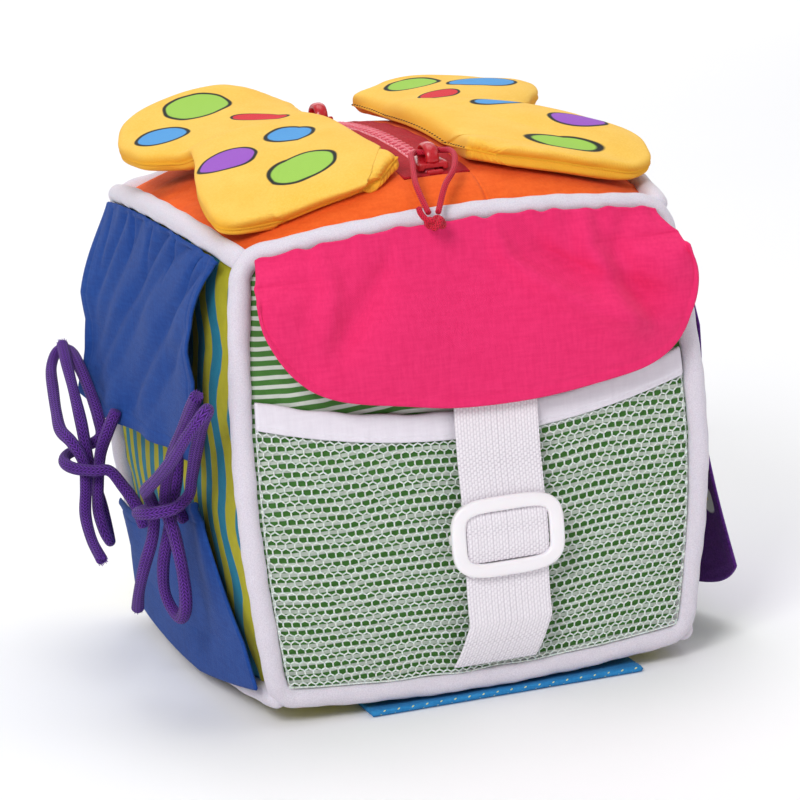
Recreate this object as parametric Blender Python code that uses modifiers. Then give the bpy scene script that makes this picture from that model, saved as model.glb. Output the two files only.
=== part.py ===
"""A soft activity cube with a flap, pocket, strap, zip or tie on each side.

Metres, +Z up, the front face looks along -Y, the origin is on the floor under the cube's centre.
"""

import math

import bmesh
import bpy
import numpy as np
from mathutils import Matrix, Vector

# The stuffed body, measured from its centre to the seams at its edges.
HALF_WIDTH = 0.0755
HALF_DEPTH = 0.083
HALF_HEIGHT = 0.0768
CORNER_RISE = 0.0103
EDGE_BOW = 0.007
BOTTOM_EDGE_BOW = 0.0035
SIDE_CROWN = 0.010
TOP_CROWN = 0.025
BOTTOM_CROWN = 0.010
TOP_ROUND_SHARE = 0.25
TOP_STEEPNESS = 12
CLEARANCE = 0.0003
OVERRUN = 0.005
MERGE_DISTANCE = 0.00001

# Panels, filling and the piping in the seams.
PANEL_THICKNESS = 0.0015
PANEL_SEGMENTS = 8
PANEL_CORNER_PULL_SHARE = 0.05
FILLING_CLEARANCE = 0.0012
FILLING_EDGE_RELIEF = 0.003
PIPING_RADIUS = 0.0038
PIPING_CORNER_SHARE = 0.1
PIPING_SEGMENTS = 9

# The zip across the top, and the flat bag that it opens.
ZIP_TAPE_WIDTH = 0.0085
ZIP_TAPE_THICKNESS = 0.0008
ZIP_FRONT_MARGIN = 0.012
ZIP_REAR_MARGIN = 0.006
ZIP_FRONT = HALF_DEPTH - ZIP_FRONT_MARGIN
ZIP_REAR = HALF_DEPTH - ZIP_REAR_MARGIN
TOOTH_PITCH = 0.0042
TOOTH_LENGTH = 0.0017
TOOTH_REACH = 0.003
TOOTH_OVERLAP = 0.0009
TOOTH_HEIGHT = 0.0026
TOOTH_CORD = 0.0014
SLIDER_LENGTH = 0.012
SLIDER_WIDTH = 0.011
SLIDER_HEIGHT = 0.0034
SLIDER_LIP = 0.0009
BAIL_RADIUS = 0.0048
BAIL_WIRE_RADIUS = 0.0011
FRONT_SLIDER_MARGIN = 0.009
REAR_SLIDER_MARGIN = 0.011
FRONT_SLIDER_PLACE = ZIP_FRONT - FRONT_SLIDER_MARGIN
REAR_SLIDER_PLACE = ZIP_REAR - REAR_SLIDER_MARGIN
ZIP_BAG_THICKNESS = 0.0012
ZIP_BAG_DEPTH = 0.0024
ZIP_BAG_END_DIP = 0.0022
ZIP_BAG_HALF_WIDTH = 0.017
FILLING_RECESS = 0.0024
FILLING_RECESS_WIDTH_SHARE = 0.3
FILLING_RECESS_LENGTH_SHARE = 0.95
PULL_CORD_RADIUS = 0.0011
PULL_BIGHT_HALF_LENGTH = 0.0036
PULL_KNOT_RADIUS = 0.0040

# The wings beside the zip.
WING_THICKNESS = 0.009
WING_EDGE_SHARE = 0.16
WING_ROOT_OFFSET = 0.0125
WING_RISE = 0.030
WING_CAMBER = 0.004
WING_SEAM_LIFT = 0.0016
WING_REAR_FREE_SHARE = 0.45
WING_FRONT_FREE_SHARE = 0.25
WING_REAR_LIFT_SHARE = 0.16
WING_FRONT_LIFT_SHARE = 0.16

# The pocket of net on the front.
NET_CORD = 0.0009
NET_COLUMNS = 16
NET_ROWS = 10
NET_PUFF = 0.0012
BINDING_HEIGHT = 0.0098
BINDING_THICKNESS = 0.0018
POCKET_HEIGHT = 0.104
POCKET_SAG = 0.011
POCKET_SAG_SHIFT_SHARE = 0.09

# The strap and its slide.
WEBBING_WIDTH = 0.030
WEBBING_THICKNESS = 0.0012
STRAP_CENTRE = 0.006
STRAP_FOOT_CENTRE = 0.001
SLIDE_RISE = 0.060
SLIDE_WIDTH = 0.041
SLIDE_LENGTH = 0.028
SLIDE_CORNER = 0.006
SLIDE_THICKNESS = 0.003
SLIDE_WINDOW_LENGTH = 0.018
SLIDE_BAR_WIDTH = 0.0034
SLIDE_BAR_THICKNESS = 0.0018
SLIDE_TRAVEL_DOWN = 0.012
SLIDE_TRAVEL_UP = 0.016

# The flaps.
FLAP_THICKNESS = 0.0016
FRONT_HINGE_DROP = 0.0079
FRONT_FLAP_STANDOFF = 0.0015
FRONT_FLAP_BELLY = 0.004
FRONT_FLAP_FOLD = 0.0014
SIDE_FLAP_FOLD = 0.0016
SIDE_FLAP_STANDOFF = 0.0025
UPPER_FLAP_FLARE = 0.008
LOWER_FLAP_HEIGHT_SHARES = (0.41, 0.37, 0.305, 0.255, 0.24)
RIGHT_FLAP_FLARE = 0.019
BOTTOM_FLAP_THICKNESS = 0.002
BOTTOM_FLAP_LEFT_MARGIN = 0.0315
BOTTOM_FLAP_RIGHT_MARGIN = 0.0195
BOTTOM_FLAP_OVERHANG = 0.007
BOTTOM_FLAP_REAR_MARGIN = 0.027
BOTTOM_FLAP_LEFT = HALF_WIDTH - BOTTOM_FLAP_LEFT_MARGIN
BOTTOM_FLAP_RIGHT = HALF_WIDTH - BOTTOM_FLAP_RIGHT_MARGIN
BOTTOM_FLAP_FRONT = HALF_DEPTH + BOTTOM_FLAP_OVERHANG
BOTTOM_FLAP_REAR = HALF_DEPTH - BOTTOM_FLAP_REAR_MARGIN

TIE_CORD_RADIUS = 0.0023
MM = 0.001

CENTRE_HEIGHT = CORNER_RISE + HALF_HEIGHT
BODY_FLOOR = BOTTOM_FLAP_THICKNESS + CLEARANCE
TOP_HEIGHT = CENTRE_HEIGHT + HALF_HEIGHT + TOP_CROWN
FRONT_HINGE_RISE = CENTRE_HEIGHT + HALF_HEIGHT - FRONT_HINGE_DROP


def clear_scene():
    """Remove the objects that the scene starts with."""
    for item in list(bpy.data.objects):
        bpy.data.objects.remove(item, do_unlink=True)


def collection(name):
    """A new collection in the scene."""
    group = bpy.data.collections.new(name)
    bpy.context.scene.collection.children.link(group)
    return group


clear_scene()
PARTS = collection("soft_activity_cube")
HELPERS = collection("cutters_and_pivots")


def dye(red, green, blue):
    """A linear colour from the usual 0 to 255 values of a swatch."""
    shares = [value / 255 for value in (red, green, blue)]
    return tuple(s / 12.92 if s < 0.04045 else ((s + 0.055) / 1.055) ** 2.4 for s in shares) + (1.0,)


WHITE = dye(232, 224, 232)
FLEECE = dye(222, 212, 224)
GREEN = dye(120, 150, 105)
PINK = dye(245, 60, 125)
ORANGE = dye(240, 105, 35)
YELLOW = dye(250, 200, 70)
RED = dye(205, 25, 40)
TEAL = dye(95, 150, 125)
BLUE = dye(45, 80, 160)
SKY = dye(45, 130, 185)
PURPLE = dye(95, 45, 135)
VIOLET = dye(85, 30, 120)
LIME = dye(200, 195, 45)
WADDING = dye(238, 236, 230)


def finish(name, item, colour, roughness=0.9):
    """Name an object, give it its own material and put it with the parts."""
    item.name = name
    item.data.name = name
    material = bpy.data.materials.new(name)
    material.use_nodes = True
    shader = material.node_tree.nodes["Principled BSDF"]
    shader.inputs["Base Color"].default_value = colour
    shader.inputs["Roughness"].default_value = roughness
    shader.inputs["Metallic"].default_value = 0.0
    item.data.materials.append(material)
    for group in item.users_collection:
        group.objects.unlink(item)
    PARTS.objects.link(item)
    return item


def as_helper(item):
    """Keep a cutter out of the model."""
    item.hide_render = True
    item.display_type = "WIRE"
    for group in item.users_collection:
        group.objects.unlink(item)
    HELPERS.objects.link(item)
    return item


def pivot(name, place):
    """An empty on a joint's axis."""
    empty = bpy.data.objects.new(name + "_pivot", None)
    empty.location = place
    HELPERS.objects.link(empty)
    return empty


def hang_on(item, empty):
    """Parent an object to a pivot and leave it where it is."""
    item.parent = empty
    item.matrix_parent_inverse = Matrix.Translation(-empty.location)


def bulge(p, q, bow, crown, round_share=1.0):
    """How far a face stands out at shares p and q of its half sides.

    A round share below 1 makes it fuller along q.
    """
    across = 1 - p * p
    along = 1 - q * q
    full = 1 - round_share * q * q - (1 - round_share) * q ** TOP_STEEPNESS
    return bow * (across + along) + (crown - 2 * bow) * across * full


def bow_at(cz):
    """How far the side seams bow outwards at a height: less towards the loaded bottom."""
    return EDGE_BOW + (BOTTOM_EDGE_BOW - EDGE_BOW) * max(0.0, -cz) ** 2


def body_point(cx, cy, cz, inset=(0.0, 0.0, 0.0), floor=BODY_FLOOR):
    """The point of the stuffed body that belongs to a point of the cube from -1 to 1."""
    bow, crown = (EDGE_BOW, TOP_CROWN) if cz > 0 else (BOTTOM_EDGE_BOW, BOTTOM_CROWN)
    round_share = TOP_ROUND_SHARE if cz > 0 else 1.0
    side_bow = bow_at(cz)
    x = cx * (HALF_WIDTH - inset[0] + bulge(cy, cz, side_bow, SIDE_CROWN))
    y = cy * (HALF_DEPTH - inset[1] + bulge(cx, cz, side_bow, SIDE_CROWN))
    z = CENTRE_HEIGHT + cz * (HALF_HEIGHT - inset[2] + bulge(cx, cy, bow, crown, round_share))
    return Vector((x, y, max(z, floor)))


def front_surface(x, z):
    """How far the front panel stands out along -Y at a place, the same on the back."""
    s = max(-1.0, min(1.0, x / (HALF_WIDTH + EDGE_BOW)))
    t = max(-1.0, min(1.0, (z - CENTRE_HEIGHT) / (HALF_HEIGHT + EDGE_BOW)))
    return HALF_DEPTH + bulge(s, t, bow_at(t), SIDE_CROWN)


def top_surface(x, y):
    """The height of the top panel at a place, found by a few steps of its own formula turned round."""
    s, t = 0.0, 0.0
    for step in range(4):
        s = max(-1.0, min(1.0, x / (HALF_WIDTH + EDGE_BOW * (1 - t * t))))
        t = max(-1.0, min(1.0, y / (HALF_DEPTH + EDGE_BOW * (1 - s * s))))
    return CENTRE_HEIGHT + HALF_HEIGHT + bulge(s, t, EDGE_BOW, TOP_CROWN, TOP_ROUND_SHARE)


def side_surface(y, z):
    """How far a side panel stands out along X at a place."""
    s = max(-1.0, min(1.0, y / (HALF_DEPTH + EDGE_BOW)))
    t = max(-1.0, min(1.0, (z - CENTRE_HEIGHT) / (HALF_HEIGHT + EDGE_BOW)))
    return HALF_WIDTH + bulge(s, t, bow_at(t), SIDE_CROWN)


def smooth_line(points, places):
    """Points at shares of an even walk along a Catmull-Rom curve through the given points."""
    path = np.array([tuple(p) for p in points], float)
    padded = np.vstack([2 * path[0] - path[1], path, 2 * path[-1] - path[-2]])
    spans = len(path) - 1
    result = []
    for place in places:
        k = min(int(place * spans), spans - 1)
        f = place * spans - k
        a, b, c, d = padded[k:k + 4]
        bend = (2 * a - 5 * b + 4 * c - d) * f * f + (3 * b - a - 3 * c + d) * f ** 3
        result.append(Vector(0.5 * (2 * b + (c - a) * f + bend)))
    return result


def sheet(name, place, columns, rows, thickness, colour, out, roughness=0.9):
    """A solid sheet: place(u, v) gives its face, and its thickness goes in from there against the way out."""
    mesh = bpy.data.meshes.new(name)
    builder = bmesh.new()
    bmesh.ops.create_grid(builder, x_segments=columns, y_segments=rows, size=1.0)
    for vertex in builder.verts:
        vertex.co = place((vertex.co.x + 1) / 2, (vertex.co.y + 1) / 2)
    made = bmesh.ops.extrude_face_region(builder, geom=list(builder.faces))["geom"]
    inner = [item for item in made if isinstance(item, bmesh.types.BMVert)]
    bmesh.ops.translate(builder, verts=inner, vec=-thickness * Vector(out))
    bmesh.ops.recalc_face_normals(builder, faces=builder.faces)
    builder.to_mesh(mesh)
    builder.free()
    item = bpy.data.objects.new(name, mesh)
    PARTS.objects.link(item)
    return finish(name, item, colour, roughness)


def padding_share(u, v):
    """How full a padded form is at a place on it, none at its edge and whole inside."""
    across = 1 - abs(2 * u - 1) ** 3
    along = 1 - abs(2 * v - 1) ** 3
    return (across * along) ** 0.5


def padded_sheet(name, place, columns, rows, thickness, edge_share, colour, out):
    """A padded form about a middle surface place(u, v), thin at its sewn edge and full inside."""
    mesh = bpy.data.meshes.new(name)
    builder = bmesh.new()
    bmesh.ops.create_grid(builder, x_segments=columns, y_segments=rows, size=1.0)
    shares = [((v.co.x + 1) / 2, (v.co.y + 1) / 2) for v in builder.verts]
    for vertex, (u, v) in zip(builder.verts, shares):
        vertex.co = place(u, v)
    builder.normal_update()
    facing = sum((face.normal * face.calc_area() for face in builder.faces), Vector())
    if facing.dot(Vector(out)) < 0:
        bmesh.ops.reverse_faces(builder, faces=builder.faces)
    builder.to_mesh(mesh)
    builder.free()
    mesh.shade_smooth()
    item = bpy.data.objects.new(name, mesh)
    PARTS.objects.link(item)
    padding = item.vertex_groups.new(name="padding")
    for index, (u, v) in enumerate(shares):
        padding.add([index], padding_share(u, v), "REPLACE")
    shell = item.modifiers.new("padding", "SOLIDIFY")
    shell.thickness = thickness
    shell.offset = 0.0
    shell.vertex_group = "padding"
    shell.thickness_vertex_group = edge_share
    return finish(name, item, colour)


def tube(name, points, radius, colour, closed=False, resolution=2, roughness=0.85):
    """A round cord along a list of points."""
    curve = bpy.data.curves.new(name, "CURVE")
    curve.dimensions = "3D"
    curve.bevel_depth = radius
    curve.bevel_resolution = resolution
    curve.use_fill_caps = True
    spline = curve.splines.new("POLY")
    spline.points.add(len(points) - 1)
    for slot, point in zip(spline.points, points):
        slot.co = (point[0], point[1], point[2], 1.0)
    spline.use_cyclic_u = closed
    item = bpy.data.objects.new(name, curve)
    PARTS.objects.link(item)
    return finish(name, item, colour, roughness)


def block(name, low, high, bevel=0.0):
    """A box between two corners, with rounded edges if a bevel is given."""
    mesh = bpy.data.meshes.new(name)
    builder = bmesh.new()
    bmesh.ops.create_cube(builder, size=1.0)
    middle = (Vector(low) + Vector(high)) / 2
    size = Vector(high) - Vector(low)
    for vertex in builder.verts:
        vertex.co = middle + Vector(a * b for a, b in zip(vertex.co, size))
    builder.to_mesh(mesh)
    builder.free()
    item = bpy.data.objects.new(name, mesh)
    PARTS.objects.link(item)
    if bevel:
        rounding = item.modifiers.new("rounding", "BEVEL")
        rounding.width = bevel
        rounding.segments = 2
    return item


def combine(item, tool, operation):
    """Join or cut an object with a helper."""
    step = item.modifiers.new(operation.lower(), "BOOLEAN")
    step.operation = operation
    step.solver = "EXACT"
    step.object = as_helper(tool)


def make_filling():
    """The stuffing block: the body's shape, set in from the panels and cut back under the piping."""
    mesh = bpy.data.meshes.new("filling")
    builder = bmesh.new()
    bmesh.ops.create_cube(builder, size=2.0)
    bmesh.ops.subdivide_edges(builder, edges=builder.edges, cuts=PANEL_SEGMENTS - 1, use_grid_fill=True)
    inset = PANEL_THICKNESS + FILLING_CLEARANCE
    for vertex in builder.verts:
        c = vertex.co.copy()
        near = [abs(value) ** 8 for value in c]
        cut = [inset + FILLING_EDGE_RELIEF * (sum(near) - near[axis]) for axis in range(3)]
        over_bag = abs(c.x) < FILLING_RECESS_WIDTH_SHARE and abs(c.y) < FILLING_RECESS_LENGTH_SHARE
        cut[2] += FILLING_RECESS if over_bag and c.z > 0.0 else 0.0
        vertex.co = body_point(c.x, c.y, c.z, cut, BODY_FLOOR + inset)
    builder.to_mesh(mesh)
    builder.free()
    item = bpy.data.objects.new("filling_core", mesh)
    PARTS.objects.link(item)
    return finish("filling_core", item, WADDING)


def make_panel(name, axis, sign, colour):
    """One face of the cover, between its piping."""
    halves = (HALF_WIDTH, HALF_DEPTH, HALF_HEIGHT)
    others = [k for k in range(3) if k != axis]
    reach = [1 - (PIPING_RADIUS + CLEARANCE) / halves[k] for k in others]

    def place(u, v):
        s, t = 2 * u - 1, 2 * v - 1
        c = [0.0, 0.0, 0.0]
        c[axis] = sign
        c[others[0]] = reach[0] * s * (1 - PANEL_CORNER_PULL_SHARE * abs(t) ** 8)
        c[others[1]] = reach[1] * t * (1 - PANEL_CORNER_PULL_SHARE * abs(s) ** 8)
        return body_point(*c)

    out = [0.0, 0.0, 0.0]
    out[axis] = sign
    return sheet(name, place, PANEL_SEGMENTS, PANEL_SEGMENTS, PANEL_THICKNESS, colour, out)


def piping_ring(name, cy):
    """The piping round the front or the back face, turning its corners on short curves."""
    corners = [(-1, -1), (1, -1), (1, 1), (-1, 1)]
    points = []
    for k, (ax, az) in enumerate(corners):
        bx, bz = corners[(k + 1) % 4]
        nx, nz = corners[(k + 2) % 4]
        limit = 1 - PIPING_CORNER_SHARE
        for share in np.linspace(-limit, limit, PIPING_SEGMENTS):
            points.append(body_point((ax + bx) / 2 + share * (bx - ax) / 2, cy,
                                     (az + bz) / 2 + share * (bz - az) / 2, floor=0.0))
        start = points[-1]
        end = body_point((bx + nx) / 2 - limit * (nx - bx) / 2, cy,
                         (bz + nz) / 2 - limit * (nz - bz) / 2, floor=0.0)
        corner = body_point(bx, cy, bz, floor=0.0)
        for f in (0.25, 0.5, 0.75):
            points.append(start * (1 - f) ** 2 + corner * 2 * f * (1 - f) + end * f * f)
    return tube(name, points, PIPING_RADIUS, FLEECE, closed=True)


def piping_rail(name, cx, cz):
    """The piping along one seam from the front ring to the back ring."""
    limit = 1 - (PIPING_RADIUS + 2 * CLEARANCE) / HALF_DEPTH
    points = [body_point(cx, share, cz, floor=0.0) for share in np.linspace(-limit, limit, PIPING_SEGMENTS)]
    return tube(name, points, PIPING_RADIUS, FLEECE)


ZIP_FALL = EDGE_BOW + (TOP_CROWN - 2 * EDGE_BOW) * TOP_ROUND_SHARE
ZIP_ARC_RADIUS = (HALF_DEPTH + EDGE_BOW) ** 2 / (2 * ZIP_FALL)
ZIP_LEVEL = TOP_HEIGHT - PANEL_THICKNESS / 2
ZIP_AXIS_HEIGHT = ZIP_LEVEL - ZIP_ARC_RADIUS
SLOT_HALF_WIDTH = TOOTH_REACH + CLEARANCE + ZIP_TAPE_WIDTH + CLEARANCE


def on_zip(x, along, up):
    """A point by its distance along the curved zip from the cube's middle, and its height over the chain."""
    angle = along / ZIP_ARC_RADIUS
    radius = ZIP_ARC_RADIUS + up
    return Vector((x, radius * math.sin(angle), ZIP_AXIS_HEIGHT + radius * math.cos(angle)))


def bend_to_zip(item, along):
    """Turn an object made at the zip's middle to its place along the zip, about the zip's own axis."""
    axis = Vector((0.0, 0.0, ZIP_AXIS_HEIGHT))
    for vertex in item.data.vertices:
        vertex.co -= axis
    item.location = axis
    item.rotation_euler = (-along / ZIP_ARC_RADIUS, 0.0, 0.0)


def cut_zip_slot(panel):
    """Open the top panel for the zip."""
    low = (-SLOT_HALF_WIDTH, -ZIP_FRONT - CLEARANCE, CENTRE_HEIGHT)
    high = (SLOT_HALF_WIDTH, ZIP_REAR + CLEARANCE, TOP_HEIGHT + OVERRUN)
    combine(panel, block("zip_slot_cutter", low, high), "DIFFERENCE")


def make_zip_tape(name, side):
    """One tape of the zip, level across and bent along the top."""
    inner = TOOTH_REACH + CLEARANCE

    def place(u, v):
        along = -ZIP_FRONT + v * (ZIP_FRONT + ZIP_REAR)
        return on_zip(side * (inner + u * ZIP_TAPE_WIDTH), along, ZIP_TAPE_THICKNESS / 2)

    return sheet(name, place, 1, 12, ZIP_TAPE_THICKNESS, RED, (0, 0, 1))


def make_zip_teeth(name, side):
    """One row of moulded teeth, joined by the cord at the tape's edge, each between two of the other row."""
    start = -ZIP_FRONT + 3 * TOOTH_LENGTH
    reach = ZIP_FRONT + ZIP_REAR - 6 * TOOTH_LENGTH

    def place(u, v):
        along = start - TOOTH_LENGTH + v * (reach + 2 * TOOTH_LENGTH)
        return on_zip(side * (TOOTH_REACH - u * TOOTH_CORD), along, TOOTH_CORD / 2)

    item = sheet(name, place, 1, 12, TOOTH_CORD, RED, (0, 0, 1), roughness=0.45)
    mesh = bpy.data.meshes.new(name + "_row")
    builder = bmesh.new()
    for k in range(int(reach / TOOTH_PITCH)):
        along = start + (k + (0.5 if side > 0 else 0.0)) * TOOTH_PITCH
        for vertex in bmesh.ops.create_cube(builder, size=1.0)["verts"]:
            across = TOOTH_REACH - TOOTH_CORD / 3 if vertex.co.x > 0 else -TOOTH_OVERLAP
            vertex.co = on_zip(side * across, along + vertex.co.y * TOOTH_LENGTH, vertex.co.z * TOOTH_HEIGHT)
    bmesh.ops.recalc_face_normals(builder, faces=builder.faces)
    builder.to_mesh(mesh)
    builder.free()
    row = bpy.data.objects.new(name + "_row", mesh)
    HELPERS.objects.link(row)
    combine(item, row, "UNION")
    return item


def make_zip_stop(name, along):
    """An end stop across both tapes' inner edges."""
    low = (-TOOTH_REACH, -TOOTH_LENGTH / 2, ZIP_LEVEL - TOOTH_HEIGHT / 2)
    high = (TOOTH_REACH, TOOTH_LENGTH / 2, ZIP_LEVEL + TOOTH_HEIGHT / 2)
    item = block(name, low, high)
    bend_to_zip(item, along)
    return finish(name, item, RED, 0.45)


SLIDER_BASE = TOOTH_HEIGHT / 2 + CLEARANCE
SLIDER_TOP = SLIDER_BASE + SLIDER_HEIGHT / 2
BIGHT_LIFT = SLIDER_TOP + PULL_CORD_RADIUS + 4 * CLEARANCE


def make_zip_slider(name, along):
    """A moulded slider: a plate with lips over the chain and a bail on top."""
    low = (-SLIDER_WIDTH / 2, -SLIDER_LENGTH / 2, ZIP_LEVEL + SLIDER_BASE - SLIDER_LIP)
    high = (SLIDER_WIDTH / 2, SLIDER_LENGTH / 2, ZIP_LEVEL + SLIDER_TOP)
    item = block(name, low, high, bevel=SLIDER_LIP / 2)
    bpy.ops.mesh.primitive_torus_add(major_segments=20, minor_segments=8, major_radius=BAIL_RADIUS,
                                     minor_radius=BAIL_WIRE_RADIUS, rotation=(0, math.pi / 2, 0),
                                     location=(0, 0, ZIP_LEVEL + SLIDER_TOP))
    bail = bpy.context.object
    bail.name = name + "_bail"
    combine(item, bail, "UNION")
    channel_half = TOOTH_REACH + CLEARANCE
    channel = block(name + "_channel", (-channel_half, -SLIDER_LENGTH, ZIP_LEVEL - BAIL_RADIUS - OVERRUN),
                    (channel_half, SLIDER_LENGTH, ZIP_LEVEL + SLIDER_BASE))
    combine(item, channel, "DIFFERENCE")
    for helper in (bail, channel):
        helper.parent = item
    bend_to_zip(item, along)
    for helper in (bail, channel):
        helper.matrix_parent_inverse = Matrix.Translation((0, 0, -ZIP_AXIS_HEIGHT))
    return finish(name, item, RED, 0.35)


PULL_LEFT_ROUTE = ((-5.1, 0.6, 0.0), (-7.6, -4.5, 0.0), (-9.4, -11.0, -1.6), (-11.8, -19.0, -4.4),
                   (-13.4, -26.8, -7.8), (-13.4, -36.6, -14.6))
PULL_RIGHT_ROUTE = ((5.1, 0.6, 0.0), (6.8, -4.5, 0.2), (5.8, -11.5, -1.2), (2.0, -20.0, -4.2),
                    (-3.8, -27.4, -7.8), (-10.0, -36.8, -14.8))
PULL_KNOT_PLACE = (-12.0, -39.6, -17.8)


def make_pull(slider_along):
    """The zip pull: a bight in the bail, two strands and a knot that hangs over the front edge."""
    centre = on_zip(0.0, slider_along, BIGHT_LIFT)
    half = Vector((PULL_BIGHT_HALF_LENGTH, 0.0, 0.0))
    bight = tube("zip_pull_bight", [centre - half, centre + half], PULL_CORD_RADIUS, RED)
    strands = []
    for name, route in (("zip_pull_left_strand", PULL_LEFT_ROUTE),
                        ("zip_pull_right_strand", PULL_RIGHT_ROUTE)):
        points = [centre + Vector(p) * MM for p in route]
        strands.append(tube(name, smooth_line(points, np.linspace(0, 1, 14)), PULL_CORD_RADIUS, RED))
    mesh = bpy.data.meshes.new("zip_pull_knot")
    builder = bmesh.new()
    bmesh.ops.create_uvsphere(builder, u_segments=12, v_segments=8, radius=PULL_KNOT_RADIUS)
    builder.to_mesh(mesh)
    builder.free()
    knot = bpy.data.objects.new("zip_pull_knot", mesh)
    PARTS.objects.link(knot)
    knot.location = centre + Vector(PULL_KNOT_PLACE) * MM
    finish("zip_pull_knot", knot, RED)
    seat = pivot("zip_pull", centre)
    bpy.context.view_layer.update()
    for item in (bight, *strands, knot):
        hang_on(item, seat)


def make_zip_bag():
    """The flat cloth bag under the zip, lying empty on the filling."""

    def place(u, v):
        x = (2 * u - 1) * ZIP_BAG_HALF_WIDTH
        y = -ZIP_FRONT + v * (ZIP_FRONT + ZIP_REAR)
        return Vector((x, y, top_surface(x, y) - ZIP_BAG_DEPTH - ZIP_BAG_END_DIP * (y / HALF_DEPTH) ** 8))

    return sheet("zip_bag", place, 4, 10, ZIP_BAG_THICKNESS, RED, (0, 0, 1))


# Each wing's outline from the front end of its root round to the rear end, as shares of the cube's
# half width, half depth and of the wings' rise over the corner seams.
LEFT_WING_SHARES = ((0.28, -0.89, 0.66), (0.50, -0.91, 0.46), (0.74, -0.91, 0.34), (0.99, -0.90, 0.30),
                    (1.07, -0.83, 0.38), (1.05, -0.60, 0.55), (0.98, -0.34, 0.65), (0.90, -0.08, 0.78),
                    (0.94, 0.06, 0.70), (1.09, 0.22, 0.69), (1.12, 0.44, 0.76), (1.03, 0.64, 0.95),
                    (0.83, 0.75, 1.12), (0.56, 0.79, 1.22), (0.32, 0.78, 1.06))
RIGHT_WING_SHARES = ((0.28, -0.88, 0.76), (0.50, -0.91, 0.64), (0.74, -0.92, 0.48), (0.94, -0.90, 0.36),
                     (1.06, -0.81, 0.42), (1.08, -0.60, 0.57), (0.99, -0.36, 0.66), (0.87, -0.14, 0.75),
                     (0.78, 0.06, 0.76), (0.87, 0.18, 0.80), (1.00, 0.38, 0.84), (1.03, 0.58, 0.86),
                     (0.92, 0.74, 0.88), (0.62, 0.80, 1.00), (0.30, 0.80, 1.04))
WING_ROOT_SHARES = (-0.80, 0.74)


def make_wing(name, side, outline):
    """A padded wing: its root follows the zip, its two lobes lie at the front and rise at the rear."""
    corner_height = CENTRE_HEIGHT + HALF_HEIGHT
    rim = [Vector((side * x * HALF_WIDTH, y * HALF_DEPTH, corner_height + z * WING_RISE))
           for x, y, z in outline]
    front, rear = (share * HALF_DEPTH for share in WING_ROOT_SHARES)

    def place(u, v):
        along = front + v * (rear - front)
        free_rear = max(0.0, 1 - (1 - v) / WING_REAR_FREE_SHARE)
        free_front = max(0.0, 1 - v / WING_FRONT_FREE_SHARE)
        lift_share = WING_REAR_LIFT_SHARE * free_rear ** 1.5 + WING_FRONT_LIFT_SHARE * free_front ** 1.5
        lift = WING_SEAM_LIFT + WING_RISE * lift_share
        root = on_zip(side * WING_ROOT_OFFSET, along, lift)
        edge = smooth_line(rim, [v])[0]
        point = root.lerp(edge, u)
        point.z += WING_CAMBER * 4 * u * (1 - u) * math.sin(math.pi * v)
        half = WING_THICKNESS / 2 * (WING_EDGE_SHARE + (1 - WING_EDGE_SHARE) * padding_share(u, v))
        point.z = max(point.z, top_surface(point.x, point.y) + half + 3 * CLEARANCE)
        return point

    item = padded_sheet(name, place, 8, 16, WING_THICKNESS, WING_EDGE_SHARE, YELLOW, (0, 0, 1))
    hang_on(item, pivot(name, (side * WING_ROOT_OFFSET, 0.0, ZIP_LEVEL + WING_SEAM_LIFT)))
    return item


def pocket_top(x):
    """The height of the pocket's upper edge, which sags between the side seams."""
    share = x / HALF_WIDTH
    return POCKET_HEIGHT + POCKET_SAG * (share * share - POCKET_SAG_SHIFT_SHARE * share)


NET_REACH_SHARE = 1 - (PIPING_RADIUS + 2 * CLEARANCE) / HALF_WIDTH
NET_LIFT = CLEARANCE + NET_CORD


def pocket_x(s, z):
    """The place across the front at a share of the panel's width at a height."""
    t = max(-1.0, min(1.0, (z - CENTRE_HEIGHT) / HALF_HEIGHT))
    return s * NET_REACH_SHARE * (HALF_WIDTH + EDGE_BOW * (1 - t * t))


def pocket_lift(s, v):
    """How far the net stands off the panel: most over its lower middle."""
    return NET_LIFT + NET_PUFF * (1 - s ** 4) * math.sin(math.pi * min(1.0, max(0.0, v)))


def make_net():
    """The pocket's net, an open grid of cords sewn in at its sides and foot."""
    foot = CORNER_RISE + PIPING_RADIUS + 2 * CLEARANCE

    def place(u, v):
        s = 2 * u - 1
        top = pocket_top(pocket_x(s, POCKET_HEIGHT)) - BINDING_HEIGHT - CLEARANCE - NET_CORD / 2
        z = foot - BOTTOM_EDGE_BOW * (1 - s * s) + v * (top - foot + BOTTOM_EDGE_BOW * (1 - s * s))
        x = pocket_x(s, z)
        return Vector((x, -front_surface(x, z) - pocket_lift(s, v), z))

    mesh = bpy.data.meshes.new("pocket_net")
    builder = bmesh.new()
    bmesh.ops.create_grid(builder, x_segments=NET_COLUMNS, y_segments=NET_ROWS, size=1.0)
    for vertex in builder.verts:
        vertex.co = place((vertex.co.x + 1) / 2, (vertex.co.y + 1) / 2)
    builder.to_mesh(mesh)
    builder.free()
    item = bpy.data.objects.new("pocket_net", mesh)
    PARTS.objects.link(item)
    cords = item.modifiers.new("cords", "WIREFRAME")
    cords.thickness = NET_CORD
    cords.use_replace = True
    cords.use_boundary = True
    cords.use_even_offset = False
    return finish("pocket_net", item, WHITE)


def make_binding():
    """The bound upper edge of the pocket."""

    def place(u, v):
        s = 2 * u - 1
        top = pocket_top(pocket_x(s, POCKET_HEIGHT))
        z = top - BINDING_HEIGHT * (1 - v)
        x = pocket_x(s, z)
        return Vector((x, -front_surface(x, z) - CLEARANCE - BINDING_THICKNESS, z))

    return sheet("pocket_binding", place, 16, 2, BINDING_THICKNESS, WHITE, (0, -1, 0))


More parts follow.
